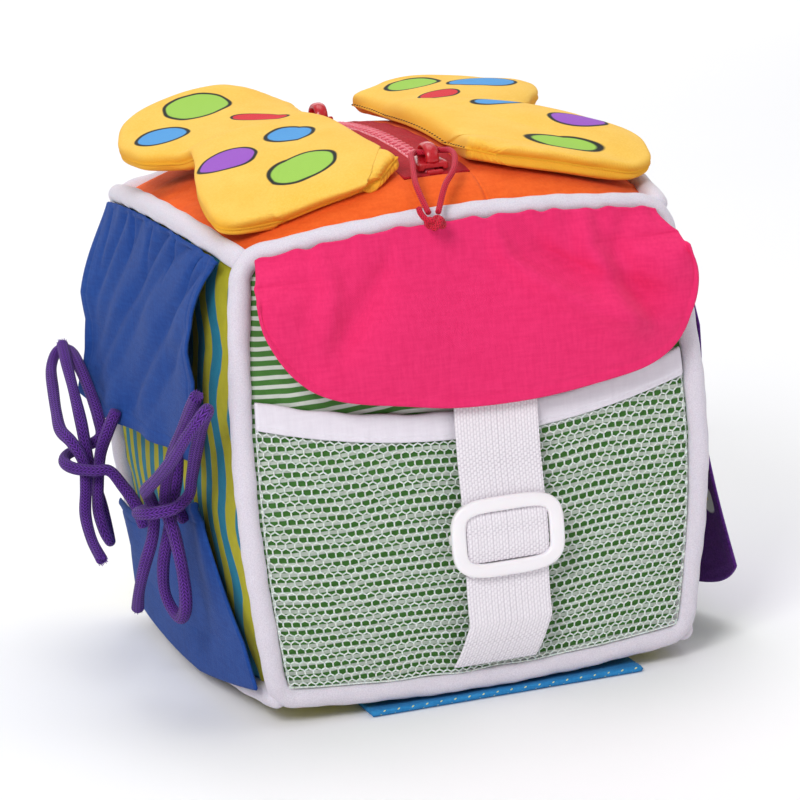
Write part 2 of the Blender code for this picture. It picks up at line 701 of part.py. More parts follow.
BAR_BACK = front_surface(STRAP_CENTRE, CENTRE_HEIGHT) + NET_LIFT + NET_PUFF + 2 * CLEARANCE
BAR_FRONT = BAR_BACK + SLIDE_BAR_THICKNESS
STRAP_BACK = BAR_FRONT + CLEARANCE
STRAP_FRONT = STRAP_BACK + WEBBING_THICKNESS


def make_strap():
    """The webbing strap: taut through the slide, and down to the front seams at both ends."""
    low_straight = SLIDE_RISE - SLIDE_TRAVEL_DOWN - SLIDE_LENGTH / 2 - OVERRUN
    high_straight = SLIDE_RISE + SLIDE_TRAVEL_UP + SLIDE_LENGTH / 2 + OVERRUN
    foot = CORNER_RISE + PIPING_RADIUS + 2 * CLEARANCE
    head = FRONT_HINGE_RISE - 2 * OVERRUN
    heights = [foot, (foot + low_straight) / 2, low_straight, low_straight + OVERRUN,
               high_straight - OVERRUN, high_straight]
    upper = np.linspace(high_straight, head, 6)[1:]
    sewn = WEBBING_THICKNESS + CLEARANCE
    stations = []
    for z in heights:
        ease = min(1.0, (z - foot) / (low_straight - foot))
        near = front_surface(STRAP_FOOT_CENTRE, z) + NET_LIFT + NET_CORD + sewn
        out = near + (STRAP_FRONT - near) * ease
        centre = STRAP_FOOT_CENTRE + (STRAP_CENTRE - STRAP_FOOT_CENTRE) * ease
        stations.append((centre, out, z))
    for z in upper:
        ease = (z - high_straight) / (head - high_straight)
        near = front_surface(STRAP_CENTRE, z) + BINDING_THICKNESS * (1 - ease) + sewn
        stations.append((STRAP_CENTRE, max(near, STRAP_FRONT + (near - STRAP_FRONT) * ease), z))

    def place(u, v):
        centre, out, z = stations[round(v * (len(stations) - 1))]
        return Vector((centre + (2 * u - 1) * WEBBING_WIDTH / 2, -out, z))

    return sheet("strap_webbing", place, 2, len(stations) - 1, WEBBING_THICKNESS, WHITE, (0, -1, 0))


def rounded_outline(width, length, corner, steps=4):
    """Corner points of a rounded rectangle about the origin."""
    points = []
    for quarter, (sx, sz) in enumerate(((1, 1), (-1, 1), (-1, -1), (1, -1))):
        for k in range(steps + 1):
            angle = math.pi / 2 * (quarter + k / steps)
            points.append((sx * (width / 2 - corner) + corner * math.cos(angle),
                           sz * (length / 2 - corner) + corner * math.sin(angle)))
    return points


def make_slide():
    """The moulded strap slide: a frame before the webbing and a bar behind it, joined beside it."""
    window_width = WEBBING_WIDTH + 2 * CLEARANCE
    curve = bpy.data.curves.new("strap_slide_outline", "CURVE")
    curve.dimensions = "2D"
    curve.fill_mode = "BOTH"
    curve.extrude = SLIDE_THICKNESS / 2
    outlines = (rounded_outline(SLIDE_WIDTH, SLIDE_LENGTH, SLIDE_CORNER),
                rounded_outline(window_width, SLIDE_WINDOW_LENGTH, SLIDE_CORNER / 3))
    for outline in outlines:
        spline = curve.splines.new("POLY")
        spline.points.add(len(outline) - 1)
        for slot, (x, z) in zip(spline.points, outline):
            slot.co = (x, z, 0.0, 1.0)
        spline.use_cyclic_u = True
    guide = bpy.data.objects.new("strap_slide_outline", curve)
    HELPERS.objects.link(guide)
    bpy.context.view_layer.update()
    shape = bpy.data.meshes.new_from_object(guide.evaluated_get(bpy.context.evaluated_depsgraph_get()))
    bpy.data.objects.remove(guide)
    builder = bmesh.new()
    builder.from_mesh(shape)
    bmesh.ops.remove_doubles(builder, verts=builder.verts, dist=MERGE_DISTANCE)
    centre = Vector((STRAP_CENTRE, -STRAP_FRONT - CLEARANCE - SLIDE_THICKNESS / 2, SLIDE_RISE))
    for vertex in builder.verts:
        vertex.co = centre + Vector((vertex.co.x, -vertex.co.z, vertex.co.y))
    bmesh.ops.recalc_face_normals(builder, faces=builder.faces)
    builder.to_mesh(shape)
    builder.free()
    item = bpy.data.objects.new("strap_slide", shape)
    PARTS.objects.link(item)
    leg_inner = window_width / 2
    leg_outer = SLIDE_WIDTH / 2 - CLEARANCE
    half_bar = SLIDE_BAR_WIDTH / 2
    front = -STRAP_FRONT - CLEARANCE - SLIDE_THICKNESS / 2
    bar = block("strap_slide_bar", (STRAP_CENTRE - leg_outer, front, SLIDE_RISE - half_bar),
                (STRAP_CENTRE + leg_outer, -BAR_BACK, SLIDE_RISE + half_bar))
    gap = block("strap_slide_bar_gap",
                (STRAP_CENTRE - leg_inner, front - SLIDE_THICKNESS, SLIDE_RISE - SLIDE_LENGTH),
                (STRAP_CENTRE + leg_inner, -BAR_FRONT, SLIDE_RISE + SLIDE_LENGTH))
    combine(bar, gap, "DIFFERENCE")
    combine(item, bar, "UNION")
    item = finish("strap_slide", item, WHITE, 0.35)
    hang_on(item, pivot("strap_slide", centre))
    return item


FRONT_HINGE_OUT = (front_surface(0.0, FRONT_HINGE_RISE) + WEBBING_THICKNESS + 3 * CLEARANCE
                   + FRONT_FLAP_STANDOFF + FLAP_THICKNESS)
HEADING_REACH_SHARE = 0.93
HEADING_BOW_SHARE = 0.3
HEADING_TOP_SHARE = 0.25
FRONT_FLAP_REACH_SHARE = 0.99
FRONT_FLAP_FOLDS = 3.5


def make_front_heading():
    """The gathered head of the front flap, lapping over the piping's lower half above the fold line."""

    def place(u, v):
        s = (2 * u - 1) * HEADING_REACH_SHARE
        seam = body_point(s, -1.0, 1.0)
        top = seam.z - PIPING_RADIUS * HEADING_TOP_SHARE
        x = s * (HALF_WIDTH + EDGE_BOW * HEADING_BOW_SHARE)
        near = -seam.y + PIPING_RADIUS + 2 * CLEARANCE + FLAP_THICKNESS
        z = top + (FRONT_HINGE_RISE + CLEARANCE / 2 - top) * v
        out = near + (FRONT_HINGE_OUT - near) * v
        return Vector((x, -out, z))

    return sheet("front_flap_heading", place, 16, 2, FLAP_THICKNESS, PINK, (0, -1, 0))


# The front flap's free edge, from its left end round to its right end, as shares of the half width
# and of its drop below the fold line.
FRONT_FLAP_DROP = 0.049
FRONT_FLAP_SHARES = (
    (-1.00, 0.10), (-0.985, 0.30), (-0.90, 0.55), (-0.78, 0.74), (-0.64, 0.84), (-0.38, 0.92), (-0.10, 0.99),
    (0.26, 1.00), (0.58, 0.95), (0.82, 0.88), (0.96, 0.74), (1.04, 0.52), (1.07, 0.28), (1.03, 0.08))


def make_front_flap():
    """The big front flap below its fold line, with shallow folds and a free rounded edge."""
    rim = [Vector((x * HALF_WIDTH, 0.0, FRONT_HINGE_RISE - z * FRONT_FLAP_DROP))
           for x, z in FRONT_FLAP_SHARES]
    fold_top = FRONT_HINGE_RISE - CLEARANCE / 2
    lowest_cover = STRAP_FRONT + 2 * CLEARANCE + FLAP_THICKNESS

    def place(u, v):
        edge = smooth_line(rim, [u])[0]
        top_x = (2 * u - 1) * HALF_WIDTH * FRONT_FLAP_REACH_SHARE
        x = top_x + (edge.x - top_x) * v
        z = fold_top + (edge.z - fold_top) * v
        out_edge = max(lowest_cover + FRONT_FLAP_STANDOFF, FRONT_HINGE_OUT)
        out = FRONT_HINGE_OUT + (out_edge - FRONT_HINGE_OUT) * v
        out += FRONT_FLAP_BELLY * math.sin(math.pi * v) * (0.5 + 0.5 * u)
        out += FRONT_FLAP_FOLD * v * (1 - v) * 4 * math.sin(2 * math.pi * FRONT_FLAP_FOLDS * u)
        return Vector((x, -out, z))

    item = sheet("front_flap", place, 18, 8, FLAP_THICKNESS, PINK, (0, -1, 0))
    hang_on(item, pivot("front_flap", (0.0, -FRONT_HINGE_OUT, FRONT_HINGE_RISE)))
    return item


UPPER_FLAP_TOP_SHARES = (-0.90, 0.90)
UPPER_FLAP_FOOT_SHARES = (-0.68, 0.98)
UPPER_FLAP_FOOT_DROP = 0.0006
UPPER_FLAP_PUFF = 0.0035
UPPER_FLAP_PUFF_SHARE = 0.6
UPPER_FLAP_CORNER_RISE = 0.005
UPPER_FLAP_CORNER_SHARE = 0.25
UPPER_FLAP_FRONT_DIP = 0.004
UPPER_FLAP_SETTLE_SHARE = 0.45
UPPER_FLAP_FOLDS = 3


def side_head(side, y):
    """The place on a side just below the upper piping, outside the panel."""
    seam = body_point(side, y / (HALF_DEPTH + EDGE_BOW), 1.0)
    z = seam.z - PIPING_RADIUS - CLEARANCE
    return side_surface(y, z) + 2 * CLEARANCE + FLAP_THICKNESS, z


def make_upper_flap():
    """The upper flap of the left side: gathered at its head, flaring at its free rear corner."""

    def place(u, v):
        top_y, foot_y = (a + (b - a) * u for a, b in (UPPER_FLAP_TOP_SHARES, UPPER_FLAP_FOOT_SHARES))
        blend = v ** (0.5 + min(0.5, u))
        y = HALF_DEPTH * (top_y + (foot_y - top_y) * blend)
        head_out, head_z = side_head(-1, y)
        corner = max(0.0, 1 - (1 - u) / UPPER_FLAP_CORNER_SHARE)
        foot_z = CENTRE_HEIGHT - UPPER_FLAP_FOOT_DROP + UPPER_FLAP_FRONT_DIP * (1 - u) ** 2
        foot_z += UPPER_FLAP_CORNER_RISE * corner ** 2
        z = head_z + (foot_z - head_z) * v
        rest = side_surface(0.0, z) + SIDE_FLAP_STANDOFF + FLAP_THICKNESS
        out = head_out + (rest - head_out) * min(1.0, v / UPPER_FLAP_SETTLE_SHARE)
        out += UPPER_FLAP_FLARE * u ** 2 * v ** 1.5
        out += UPPER_FLAP_PUFF * (2 * u - 1) ** 2 * math.sin(math.pi * min(1.0, v / UPPER_FLAP_PUFF_SHARE))
        out += SIDE_FLAP_FOLD * math.sin(2 * math.pi * UPPER_FLAP_FOLDS * u) * v * (1 - v / 2)
        return Vector((-out, y, z))

    item = sheet("side_upper_flap", place, 16, 8, FLAP_THICKNESS, BLUE, (-1, 0, 0))
    head_out, head_z = side_head(-1, 0.0)
    hang_on(item, pivot("side_upper_flap", (-head_out, 0.0, head_z)))
    return item


LOWER_FLAP_SHARES = (-0.98, 0.99)
LOWER_FLAP_NARROWING_SHARE = 0.42
LOWER_FLAP_NARROWED_SHARE = 0.45
LOWER_FLAP_HEM_START_SHARE = -0.55
LOWER_FLAP_SETTLE_SHARE = 0.3
LOWER_FLAP_STANDOFF_SHARE = 0.4
LOWER_FLAP_FOLDS = 2.5
LOWER_FLAP_CORNER_SHARE = 0.4
LOWER_FLAP_CORNER_RISE = 0.001


def lower_flap_foot(y):
    """The place on the bottom piping's outer side where the lower flap is sewn on."""
    seam = body_point(-1.0, y / (HALF_DEPTH + EDGE_BOW), -1.0, floor=0.0)
    return -seam.x + PIPING_RADIUS + CLEARANCE + FLAP_THICKNESS, seam.z - PIPING_RADIUS / 2


def make_lower_flap():
    """The lower flap of the left side, rising from the bottom seam to a sloping hem."""

    def place(u, v):
        foot_y, rear_y = (HALF_DEPTH * share for share in LOWER_FLAP_SHARES)
        y = foot_y + (rear_y - foot_y) * u
        narrow = LOWER_FLAP_NARROWING_SHARE * max(0.0, 1 - u / LOWER_FLAP_NARROWED_SHARE) ** 2
        y += HALF_DEPTH * narrow * v
        along_hem = (y / HALF_DEPTH - LOWER_FLAP_HEM_START_SHARE) / (1 - LOWER_FLAP_HEM_START_SHARE)
        place_on_hem = min(1.0, max(0.0, along_hem)) * (len(LOWER_FLAP_HEIGHT_SHARES) - 1)
        k = min(int(place_on_hem), len(LOWER_FLAP_HEIGHT_SHARES) - 2)
        low, high = LOWER_FLAP_HEIGHT_SHARES[k:k + 2]
        hem = CORNER_RISE + 2 * HALF_HEIGHT * (low + (high - low) * (place_on_hem - k))
        foot_out, foot_z = lower_flap_foot(y)
        corner = max(0.0, 1 - u / LOWER_FLAP_CORNER_SHARE)
        foot_z += (PIPING_RADIUS * 3 / 2 + LOWER_FLAP_CORNER_RISE) * corner
        z = foot_z + (hem - foot_z) * v
        standoff = SIDE_FLAP_STANDOFF * LOWER_FLAP_STANDOFF_SHARE * v
        rest = side_surface(y, z) + 2 * CLEARANCE + FLAP_THICKNESS + standoff
        ease = min(1.0, v / LOWER_FLAP_SETTLE_SHARE)
        out = foot_out + (max(rest, foot_out) - foot_out) * ease
        wave = (1 + math.sin(2 * math.pi * LOWER_FLAP_FOLDS * u)) / 2
        out += SIDE_FLAP_FOLD * wave * math.sin(math.pi / 2 * v)
        return Vector((-out, y, z))

    item = sheet("side_lower_flap", place, 16, 6, FLAP_THICKNESS, BLUE, (-1, 0, 0))
    foot_out, foot_z = lower_flap_foot(0.0)
    hang_on(item, pivot("side_lower_flap", (-foot_out, 0.0, foot_z)))
    return item


RIGHT_FLAP_TOP_SHARES = (-0.84, 0.84)
RIGHT_FLAP_FOOT_SHARES = (-0.72, 0.70)
RIGHT_FLAP_FOOT_RISE = 0.011
RIGHT_FLAP_ROUND_SHARE = 0.16
RIGHT_FLAP_SETTLE_SHARE = 1 / 3
RIGHT_FLAP_FOLDS = 2.5
RIGHT_FLAP_PUFF = 0.0035
RIGHT_FLAP_PUFF_SHARE = 0.55


def make_right_flap():
    """The flap of the right side, hanging from the upper seam and flaring at its foot."""

    def place(u, v):
        top_y, foot_y = (a + (b - a) * u for a, b in (RIGHT_FLAP_TOP_SHARES, RIGHT_FLAP_FOOT_SHARES))
        y = HALF_DEPTH * (top_y + (foot_y - top_y) * v ** 2)
        head_out, head_z = side_head(1, y)
        round_foot = RIGHT_FLAP_ROUND_SHARE * HALF_HEIGHT * abs(2 * u - 1) ** 4
        z = head_z + (RIGHT_FLAP_FOOT_RISE + round_foot - head_z) * v
        rest = side_surface(0.0, z) + SIDE_FLAP_STANDOFF + FLAP_THICKNESS
        out = head_out + (rest - head_out) * min(1.0, v / RIGHT_FLAP_SETTLE_SHARE)
        out += RIGHT_FLAP_FLARE * v ** 3
        out += SIDE_FLAP_FOLD * math.sin(2 * math.pi * RIGHT_FLAP_FOLDS * u) * v
        out += RIGHT_FLAP_PUFF * math.sin(math.pi * min(1.0, v / RIGHT_FLAP_PUFF_SHARE)) ** 0.7
        return Vector((out, y, z))

    item = sheet("right_flap", place, 12, 8, FLAP_THICKNESS, VIOLET, (1, 0, 0))
    head_out, head_z = side_head(1, 0.0)
    hang_on(item, pivot("right_flap", (head_out, 0.0, head_z)))
    return item


def make_bottom_flap():
    """The flat flap that the cube stands on, sewn to the bottom at its rear edge."""

    def place(u, v):
        x = -BOTTOM_FLAP_LEFT + u * (BOTTOM_FLAP_LEFT + BOTTOM_FLAP_RIGHT)
        y = -BOTTOM_FLAP_FRONT + v * (BOTTOM_FLAP_FRONT + BOTTOM_FLAP_REAR)
        return Vector((x, y, 0.0))

    item = sheet("bottom_flap", place, 4, 5, BOTTOM_FLAP_THICKNESS, SKY, (0, 0, -1))
    hang_on(item, pivot("bottom_flap", (0.0, BOTTOM_FLAP_REAR, BOTTOM_FLAP_THICKNESS)))
    return item


# The tie cords' routes in millimetres: where each is sewn to its flap, and the bow that they share.
FRONT_UPPER_START = ((-92.9, -42.6, 93.0),)
FRONT_LOWER_START = ((-91.0, -35.2, 66.0), (-93.6, -36.2, 69.9))
REAR_UPPER_START = ((-95.7, 34.6, 92.0),)
REAR_LOWER_START = ((-90.9, 27.0, 50.0), (-93.0, 27.4, 58.0), (-97.0, 28.4, 65.5))
BOW_UPPER_ROUTE = (
    (-94.9, -45.2, 84.0), (-97.5, -47.6, 76.0), (-99.5, -46.5, 66.0), (-101.5, -42.0, 53.0),
    (-101.0, -38.0, 42.0), (-99.0, -39.5, 35.0), (-97.5, -45.5, 33.5), (-97.0, -51.0, 40.0),
    (-97.8, -53.8, 52.0), (-99.6, -54.6, 65.0), (-101.4, -52.8, 76.0), (-101.4, -57.0, 86.0),
    (-100.6, -66.0, 97.0), (-99.6, -76.0, 106.0), (-98.6, -86.0, 115.0), (-97.6, -94.0, 122.0))
BOW_LOWER_ROUTE = (
    (-97.0, -37.6, 71.6), (-102.4, -38.8, 72.2), (-108.6, -43.6, 73.0), (-110.6, -50.4, 74.2),
    (-107.6, -57.4, 75.4), (-100.6, -60.2, 76.6), (-94.4, -58.4, 80.0), (-93.6, -62.0, 87.0),
    (-93.6, -72.0, 99.0), (-93.9, -84.0, 110.0), (-94.6, -95.0, 117.0), (-98.2, -100.5, 116.5),
    (-102.5, -95.0, 109.0), (-105.2, -83.0, 99.0), (-107.6, -70.0, 90.5), (-109.0, -59.0, 84.4),
    (-107.0, -50.8, 81.0), (-104.4, -46.6, 74.0), (-105.0, -44.4, 64.0), (-107.4, -38.0, 52.0),
    (-108.0, -29.0, 41.0), (-107.0, -20.0, 32.5))
BOW_KNOT_RISE = 75.0
BOW_KNOT_REACH = 10.0
REAR_BOW_SHARE = 0.66
REAR_BOW_OFFSET = (-4.2, -8.0, 0.0)


def rear_bow(route):
    """The rear bow's route: the front one mirrored, moved, and shorter above and below its knot."""
    points = []
    for x, y, z in route:
        away = z - BOW_KNOT_RISE
        kept = max(-BOW_KNOT_REACH, min(BOW_KNOT_REACH, away))
        rise = BOW_KNOT_RISE + kept + (away - kept) * REAR_BOW_SHARE
        points.append(Vector((x, -y, rise)) + Vector(REAR_BOW_OFFSET))
    return points


def make_ties():
    """The two bows of cord: each an upper cord through the knot and a lower cord wrapped round it."""
    routes = {"front_tie_upper_cord": [*FRONT_UPPER_START, *BOW_UPPER_ROUTE],
              "front_tie_lower_cord": [*FRONT_LOWER_START, *BOW_LOWER_ROUTE],
              "rear_tie_upper_cord": [*REAR_UPPER_START, *rear_bow(BOW_UPPER_ROUTE)],
              "rear_tie_lower_cord": [*REAR_LOWER_START, *rear_bow(BOW_LOWER_ROUTE)]}
    head_out, head_z = side_head(-1, 0.0)
    seat = pivot("ties", (-head_out, 0.0, head_z))
    bpy.context.view_layer.update()
    for name, route in routes.items():
        points = [Vector(p) * MM for p in route]
        line = smooth_line(points, np.linspace(0, 1, 3 * len(points) - 1))
        hang_on(tube(name, line, TIE_CORD_RADIUS, PURPLE), seat)


make_filling()
make_panel("front_panel", 1, -1, GREEN)
make_panel("back_panel", 1, 1, LIME)
make_panel("left_panel", 0, -1, TEAL)
make_panel("right_panel", 0, 1, TEAL)
make_panel("bottom_panel", 2, -1, LIME)
cut_zip_slot(make_panel("top_panel", 2, 1, ORANGE))
piping_ring("front_piping", -1)
piping_ring("back_piping", 1)
for rail_name, rail_x, rail_z in (("top_left_piping", -1, 1), ("top_right_piping", 1, 1),
                                  ("bottom_left_piping", -1, -1), ("bottom_right_piping", 1, -1)):
    piping_rail(rail_name, rail_x, rail_z)
make_zip_tape("zip_tape_left", -1)
make_zip_tape("zip_tape_right", 1)
make_zip_teeth("zip_teeth_left", -1)
make_zip_teeth("zip_teeth_right", 1)
make_zip_stop("zip_front_stop", -ZIP_FRONT + TOOTH_LENGTH)
make_zip_stop("zip_rear_stop", ZIP_REAR - TOOTH_LENGTH)
make_zip_bag()
make_zip_slider("zip_slider_front", -FRONT_SLIDER_PLACE)
make_zip_slider("zip_slider_rear", REAR_SLIDER_PLACE)
make_pull(-FRONT_SLIDER_PLACE)
make_wing("left_wing", -1, LEFT_WING_SHARES)
make_wing("right_wing", 1, RIGHT_WING_SHARES)
make_net()
make_binding()
make_strap()
make_slide()
make_front_heading()
make_front_flap()
make_upper_flap()
make_lower_flap()
make_right_flap()
make_bottom_flap()
make_ties()
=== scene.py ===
"""Looks of a soft activity cube with a flap, pocket, strap, zip or tie on each side.

Metres, +Z up. The front face looks along -Y, and the origin is on the floor under the cube's centre.
"""

import math

import bpy
import numpy as np
from mathutils import Matrix, Vector


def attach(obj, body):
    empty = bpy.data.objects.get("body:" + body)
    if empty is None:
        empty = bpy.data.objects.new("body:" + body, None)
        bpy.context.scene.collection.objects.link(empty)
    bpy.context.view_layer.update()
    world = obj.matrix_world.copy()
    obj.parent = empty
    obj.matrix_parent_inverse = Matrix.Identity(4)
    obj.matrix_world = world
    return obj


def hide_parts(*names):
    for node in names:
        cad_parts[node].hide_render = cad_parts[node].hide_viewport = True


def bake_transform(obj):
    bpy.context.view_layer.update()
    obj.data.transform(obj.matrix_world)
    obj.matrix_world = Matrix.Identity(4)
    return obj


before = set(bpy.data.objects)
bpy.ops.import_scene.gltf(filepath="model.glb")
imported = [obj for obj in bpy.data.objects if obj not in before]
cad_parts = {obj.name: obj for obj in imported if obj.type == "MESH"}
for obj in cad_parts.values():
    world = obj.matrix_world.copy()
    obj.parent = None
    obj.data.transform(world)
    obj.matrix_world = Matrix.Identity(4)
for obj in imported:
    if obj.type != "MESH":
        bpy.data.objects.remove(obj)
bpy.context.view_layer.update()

# Camera: a long lens at the cube's front left, a little above it. It is turned slightly past the cube
# and rolled a few degrees, as the fitted view of the photograph asks.
CAMERA_DISTANCE = 1.4
CAMERA_LENS_PIXELS = 3826.0
FRAME_PIXELS = 800
camera_side, camera_height = math.radians(17.33), math.radians(12.62)
yaw, pitch, roll = math.radians(17.44), math.radians(12.45), math.radians(-4.41)
look = Vector((math.sin(yaw) * math.cos(pitch), math.cos(yaw) * math.cos(pitch), -math.sin(pitch)))
level = Vector((math.cos(yaw), -math.sin(yaw), 0))
plumb = level.cross(look)
right = level * math.cos(roll) + plumb * math.sin(roll)
upward = -level * math.sin(roll) + plumb * math.cos(roll)
lens = bpy.data.cameras.new("camera")
lens.sensor_width = 36
lens.lens = CAMERA_LENS_PIXELS / FRAME_PIXELS * lens.sensor_width
lens.clip_start, lens.clip_end = 0.1, 20
camera = bpy.data.objects.new("camera", lens)
stand = Vector((0, 0, 0.085)) + CAMERA_DISTANCE * Vector((
    -math.sin(camera_side) * math.cos(camera_height), -math.cos(camera_side) * math.cos(camera_height),
    math.sin(camera_height)))
camera.matrix_world = Matrix.Translation(stand) @ Matrix((right, upward, -look)).transposed().to_4x4()
bpy.context.scene.collection.objects.link(camera)
bpy.context.scene.camera = camera


# Studio: a plain white floor in a pale room. One broad lamp stands at the front left, weaker ones at the
# right and behind, a wide one hangs overhead, and one lights the floor far behind: the shadows stay faint.
def new_object(name, data):
    """An object of that name in the scene."""
    made = bpy.data.objects.new(name, data)
    bpy.context.scene.collection.objects.link(made)
    return made


def studio_lamp(name, place, aim, size, power):
    """A square area lamp at a place, turned to a point."""
    light = bpy.data.lights.new(name, "AREA")
    light.size = size
    light.energy = power
    lamp = new_object(name, light)
    lamp.location = place
    lamp.rotation_euler = (Vector(aim) - Vector(place)).to_track_quat("-Z", "Y").to_euler()


studio_lamp("front_left_lamp", (-0.95, -1.25, 1.15), (0, 0, 0.09), 0.6, 18.0)
studio_lamp("right_lamp", (1.3, -0.7, 0.8), (0, 0, 0.09), 0.9, 2.5)
studio_lamp("overhead_lamp", (0.1, 0.2, 1.5), (0, 0, 0.1), 1.0, 7.5)
studio_lamp("rear_lamp", (-0.5, 1.5, 0.9), (0, 0, 0.1), 0.9, 3.0)
studio_lamp("backdrop_lamp", (0.8, 2.6, 1.6), (0.8, 2.6, 0), 2.2, 30.0)
room = bpy.data.worlds.new("pale_room")
room.use_nodes = True
room.node_tree.nodes["Background"].inputs["Color"].default_value = (0.97, 0.97, 1.0, 1)
room.node_tree.nodes["Background"].inputs["Strength"].default_value = 0.42
bpy.context.scene.world = room
bpy.context.scene.view_settings.view_transform = "Standard"


class Finish:
    """A procedural finish: one Principled shader and the nodes that lead to its colour and bump."""

    def __init__(self, name, roughness=0.9, sheen=0.0, coat=0.0, subsurface=0.0):
        self.material = bpy.data.materials.new(name)
        self.material.use_nodes = True
        self.tree = self.material.node_tree
        self.shader = self.tree.nodes["Principled BSDF"]
        shine = 0.5 if roughness < 0.6 else 0.25
        for key, value in (("Roughness", roughness), ("Sheen Weight", sheen), ("Sheen Roughness", 0.4),
                           ("Coat Weight", coat), ("Coat Roughness", 0.15), ("Subsurface Weight", subsurface),
                           ("Subsurface Scale", 0.002), ("Specular IOR Level", shine)):
            self.shader.inputs[key].default_value = value

    def node(self, kind, **settings):
        """A node with its plain settings."""
        made = self.tree.nodes.new(kind)
        for key, value in settings.items():
            setattr(made, key, value)
        return made

    def feed(self, slot, value):
        """A link or a fixed value into a socket."""
        if isinstance(value, bpy.types.NodeSocket):
            self.tree.links.new(value, slot)
        else:
            slot.default_value = value

    def math(self, operation, first, second=0.0, third=0.0):
        """The result of one sum."""
        made = self.node("ShaderNodeMath", operation=operation)
        for slot, value in zip(made.inputs, (first, second, third)):
            self.feed(slot, value)
        return made.outputs[0]

    def times(self, first, second):
        """One value times another."""
        return self.math("MULTIPLY", first, second)

    def scale_add(self, value, factor, rest):
        """A value times a factor, plus the rest."""
        return self.math("MULTIPLY_ADD", value, factor, rest)

    def place(self, source="Object"):
        """The three parts of a place on the piece, and the place itself."""
        spot = self.node("ShaderNodeTexCoord").outputs[source]
        parts = self.node("ShaderNodeSeparateXYZ")
        self.feed(parts.inputs[0], spot)
        return (*parts.outputs, spot)

    def mark(self, name):
        """A value that the mesh carries at its points."""
        return self.node("ShaderNodeAttribute", attribute_name=name).outputs["Fac"]

    def noise(self, spot, scale, detail=3.0, roughness=0.55, stretch=(1, 1, 1)):
        """Cloudy values about one half."""
        if stretch != (1, 1, 1):
            mapping = self.node("ShaderNodeMapping")
            self.feed(mapping.inputs[0], spot)
            mapping.inputs["Scale"].default_value = stretch
            spot = mapping.outputs[0]
        made = self.node("ShaderNodeTexNoise")
        self.feed(made.inputs["Vector"], spot)
        made.inputs["Scale"].default_value = scale
        made.inputs["Detail"].default_value = detail
        made.inputs["Roughness"].default_value = roughness
        return made.outputs[0]

    def between(self, value, low, high, start=0.0, end=1.0):
        """A smooth climb from start to end while a value goes from low to high."""
        made = self.node("ShaderNodeMapRange", interpolation_type="SMOOTHSTEP")
        for slot, given in zip(made.inputs, (value, low, high, start, end)):
            self.feed(slot, given)
        return made.outputs[0]

    def mix(self, share, low, high):
        """A colour between two."""
        made = self.node("ShaderNodeMix", data_type="RGBA")
        self.feed(made.inputs[0], share)
        self.feed(made.inputs[6], low)
        self.feed(made.inputs[7], high)
        return made.outputs[2]

    def sine(self, value, pitch, shift=0.0):
        """A sine of one wave to a pitch."""
        return self.math("SINE", self.scale_add(value, 2 * math.pi / pitch, shift))

    def weave(self, across, along, pitch):
        """The height of a plain weave: threads that pass over and under at each crossing."""
        warp = self.sine(across, 2 * pitch)
        weft = self.sine(along, 2 * pitch)
        over = self.times(warp, weft)
        ribs = self.times(self.sine(across, pitch, math.pi / 2), self.sine(along, pitch, math.pi / 2))
        return self.scale_add(over, 0.35, self.times(ribs, 0.3))

    def bump(self, height, distance, strength=1.0):
        """The surface relief, in metres for a height of one."""
        made = self.node("ShaderNodeBump")
        self.feed(made.inputs["Height"], height)
        made.inputs["Distance"].default_value = distance
        made.inputs["Strength"].default_value = strength
        self.feed(self.shader.inputs["Normal"], made.outputs[0])

    def colour(self, value):
        """The colour of the surface."""
        self.feed(self.shader.inputs["Base Color"], value)

    def rough(self, value):
        """A roughness that changes over the surface."""
        self.feed(self.shader.inputs["Roughness"], value)

    def spot(self):
        """The place on the piece."""
        return self.place()[3]

    def speckle(self, scale, low, high, detail=3.0):
        """A colour that wanders between two swatches with a noise of a scale."""
        return self.mix(self.noise(self.spot(), scale, detail), dye(*low), dye(*high))


def dye(red, green, blue):
    """A linear colour from the usual 0 to 255 values of a swatch."""
    shares = [value / 255 for value in (red, green, blue)]
    return tuple(s / 12.92 if s < 0.04045 else ((s + 0.055) / 1.055) ** 2.4 for s in shares) + (1.0,)


def grained(name, low, high, grain, relief, depth, strength=1.0, details=(3.0, 3.0), **looks):
    """A finish of one dye: its grain and relief by their scales, and the relief's depth and strength."""
    made = Finish(name, **looks)
    made.colour(made.speckle(grain, low, high, details[0]))
    made.bump(made.noise(made.spot(), relief, details[1]), depth, strength)
    return made


def build(name, points, faces, finish, uv=None, marks=None, smooth=True):
    """A mesh from its points and lists of faces, with a flat map and values at its points if given."""
    mesh = bpy.data.meshes.new(name)
    rows = [row for block in faces for row in np.asarray(block, int).tolist()]
    mesh.from_pydata(np.asarray(points, float).reshape(-1, 3).tolist(), [], rows)
    if uv is not None:
        corners = np.empty(len(mesh.loops), int)
        mesh.loops.foreach_get("vertex_index", corners)
        layer = mesh.uv_layers.new(name="surface")
        layer.data.foreach_set("uv", np.asarray(uv, float).reshape(-1, 2)[corners].ravel())
    for key, value in (marks or {}).items():
        layer = mesh.attributes.new(key, "FLOAT", "POINT")
        layer.data.foreach_set("value", np.asarray(value, float).ravel())
    if smooth:
        mesh.shade_smooth()
    mesh.materials.append(finish.material)
    return new_object(name, mesh)


def grid_faces(across, along, wrap=False):
    """Four-sided faces between a grid's points, numbered row by row, closed round its columns if wrapped."""
    i = np.arange(across if wrap else across - 1)
    j = np.arange(along - 1)
    a = (i[None, :] + j[:, None] * across).ravel()
    b = ((i[None, :] + 1) % across + j[:, None] * across).ravel()
    return np.column_stack((a, b, b + across, a + across))


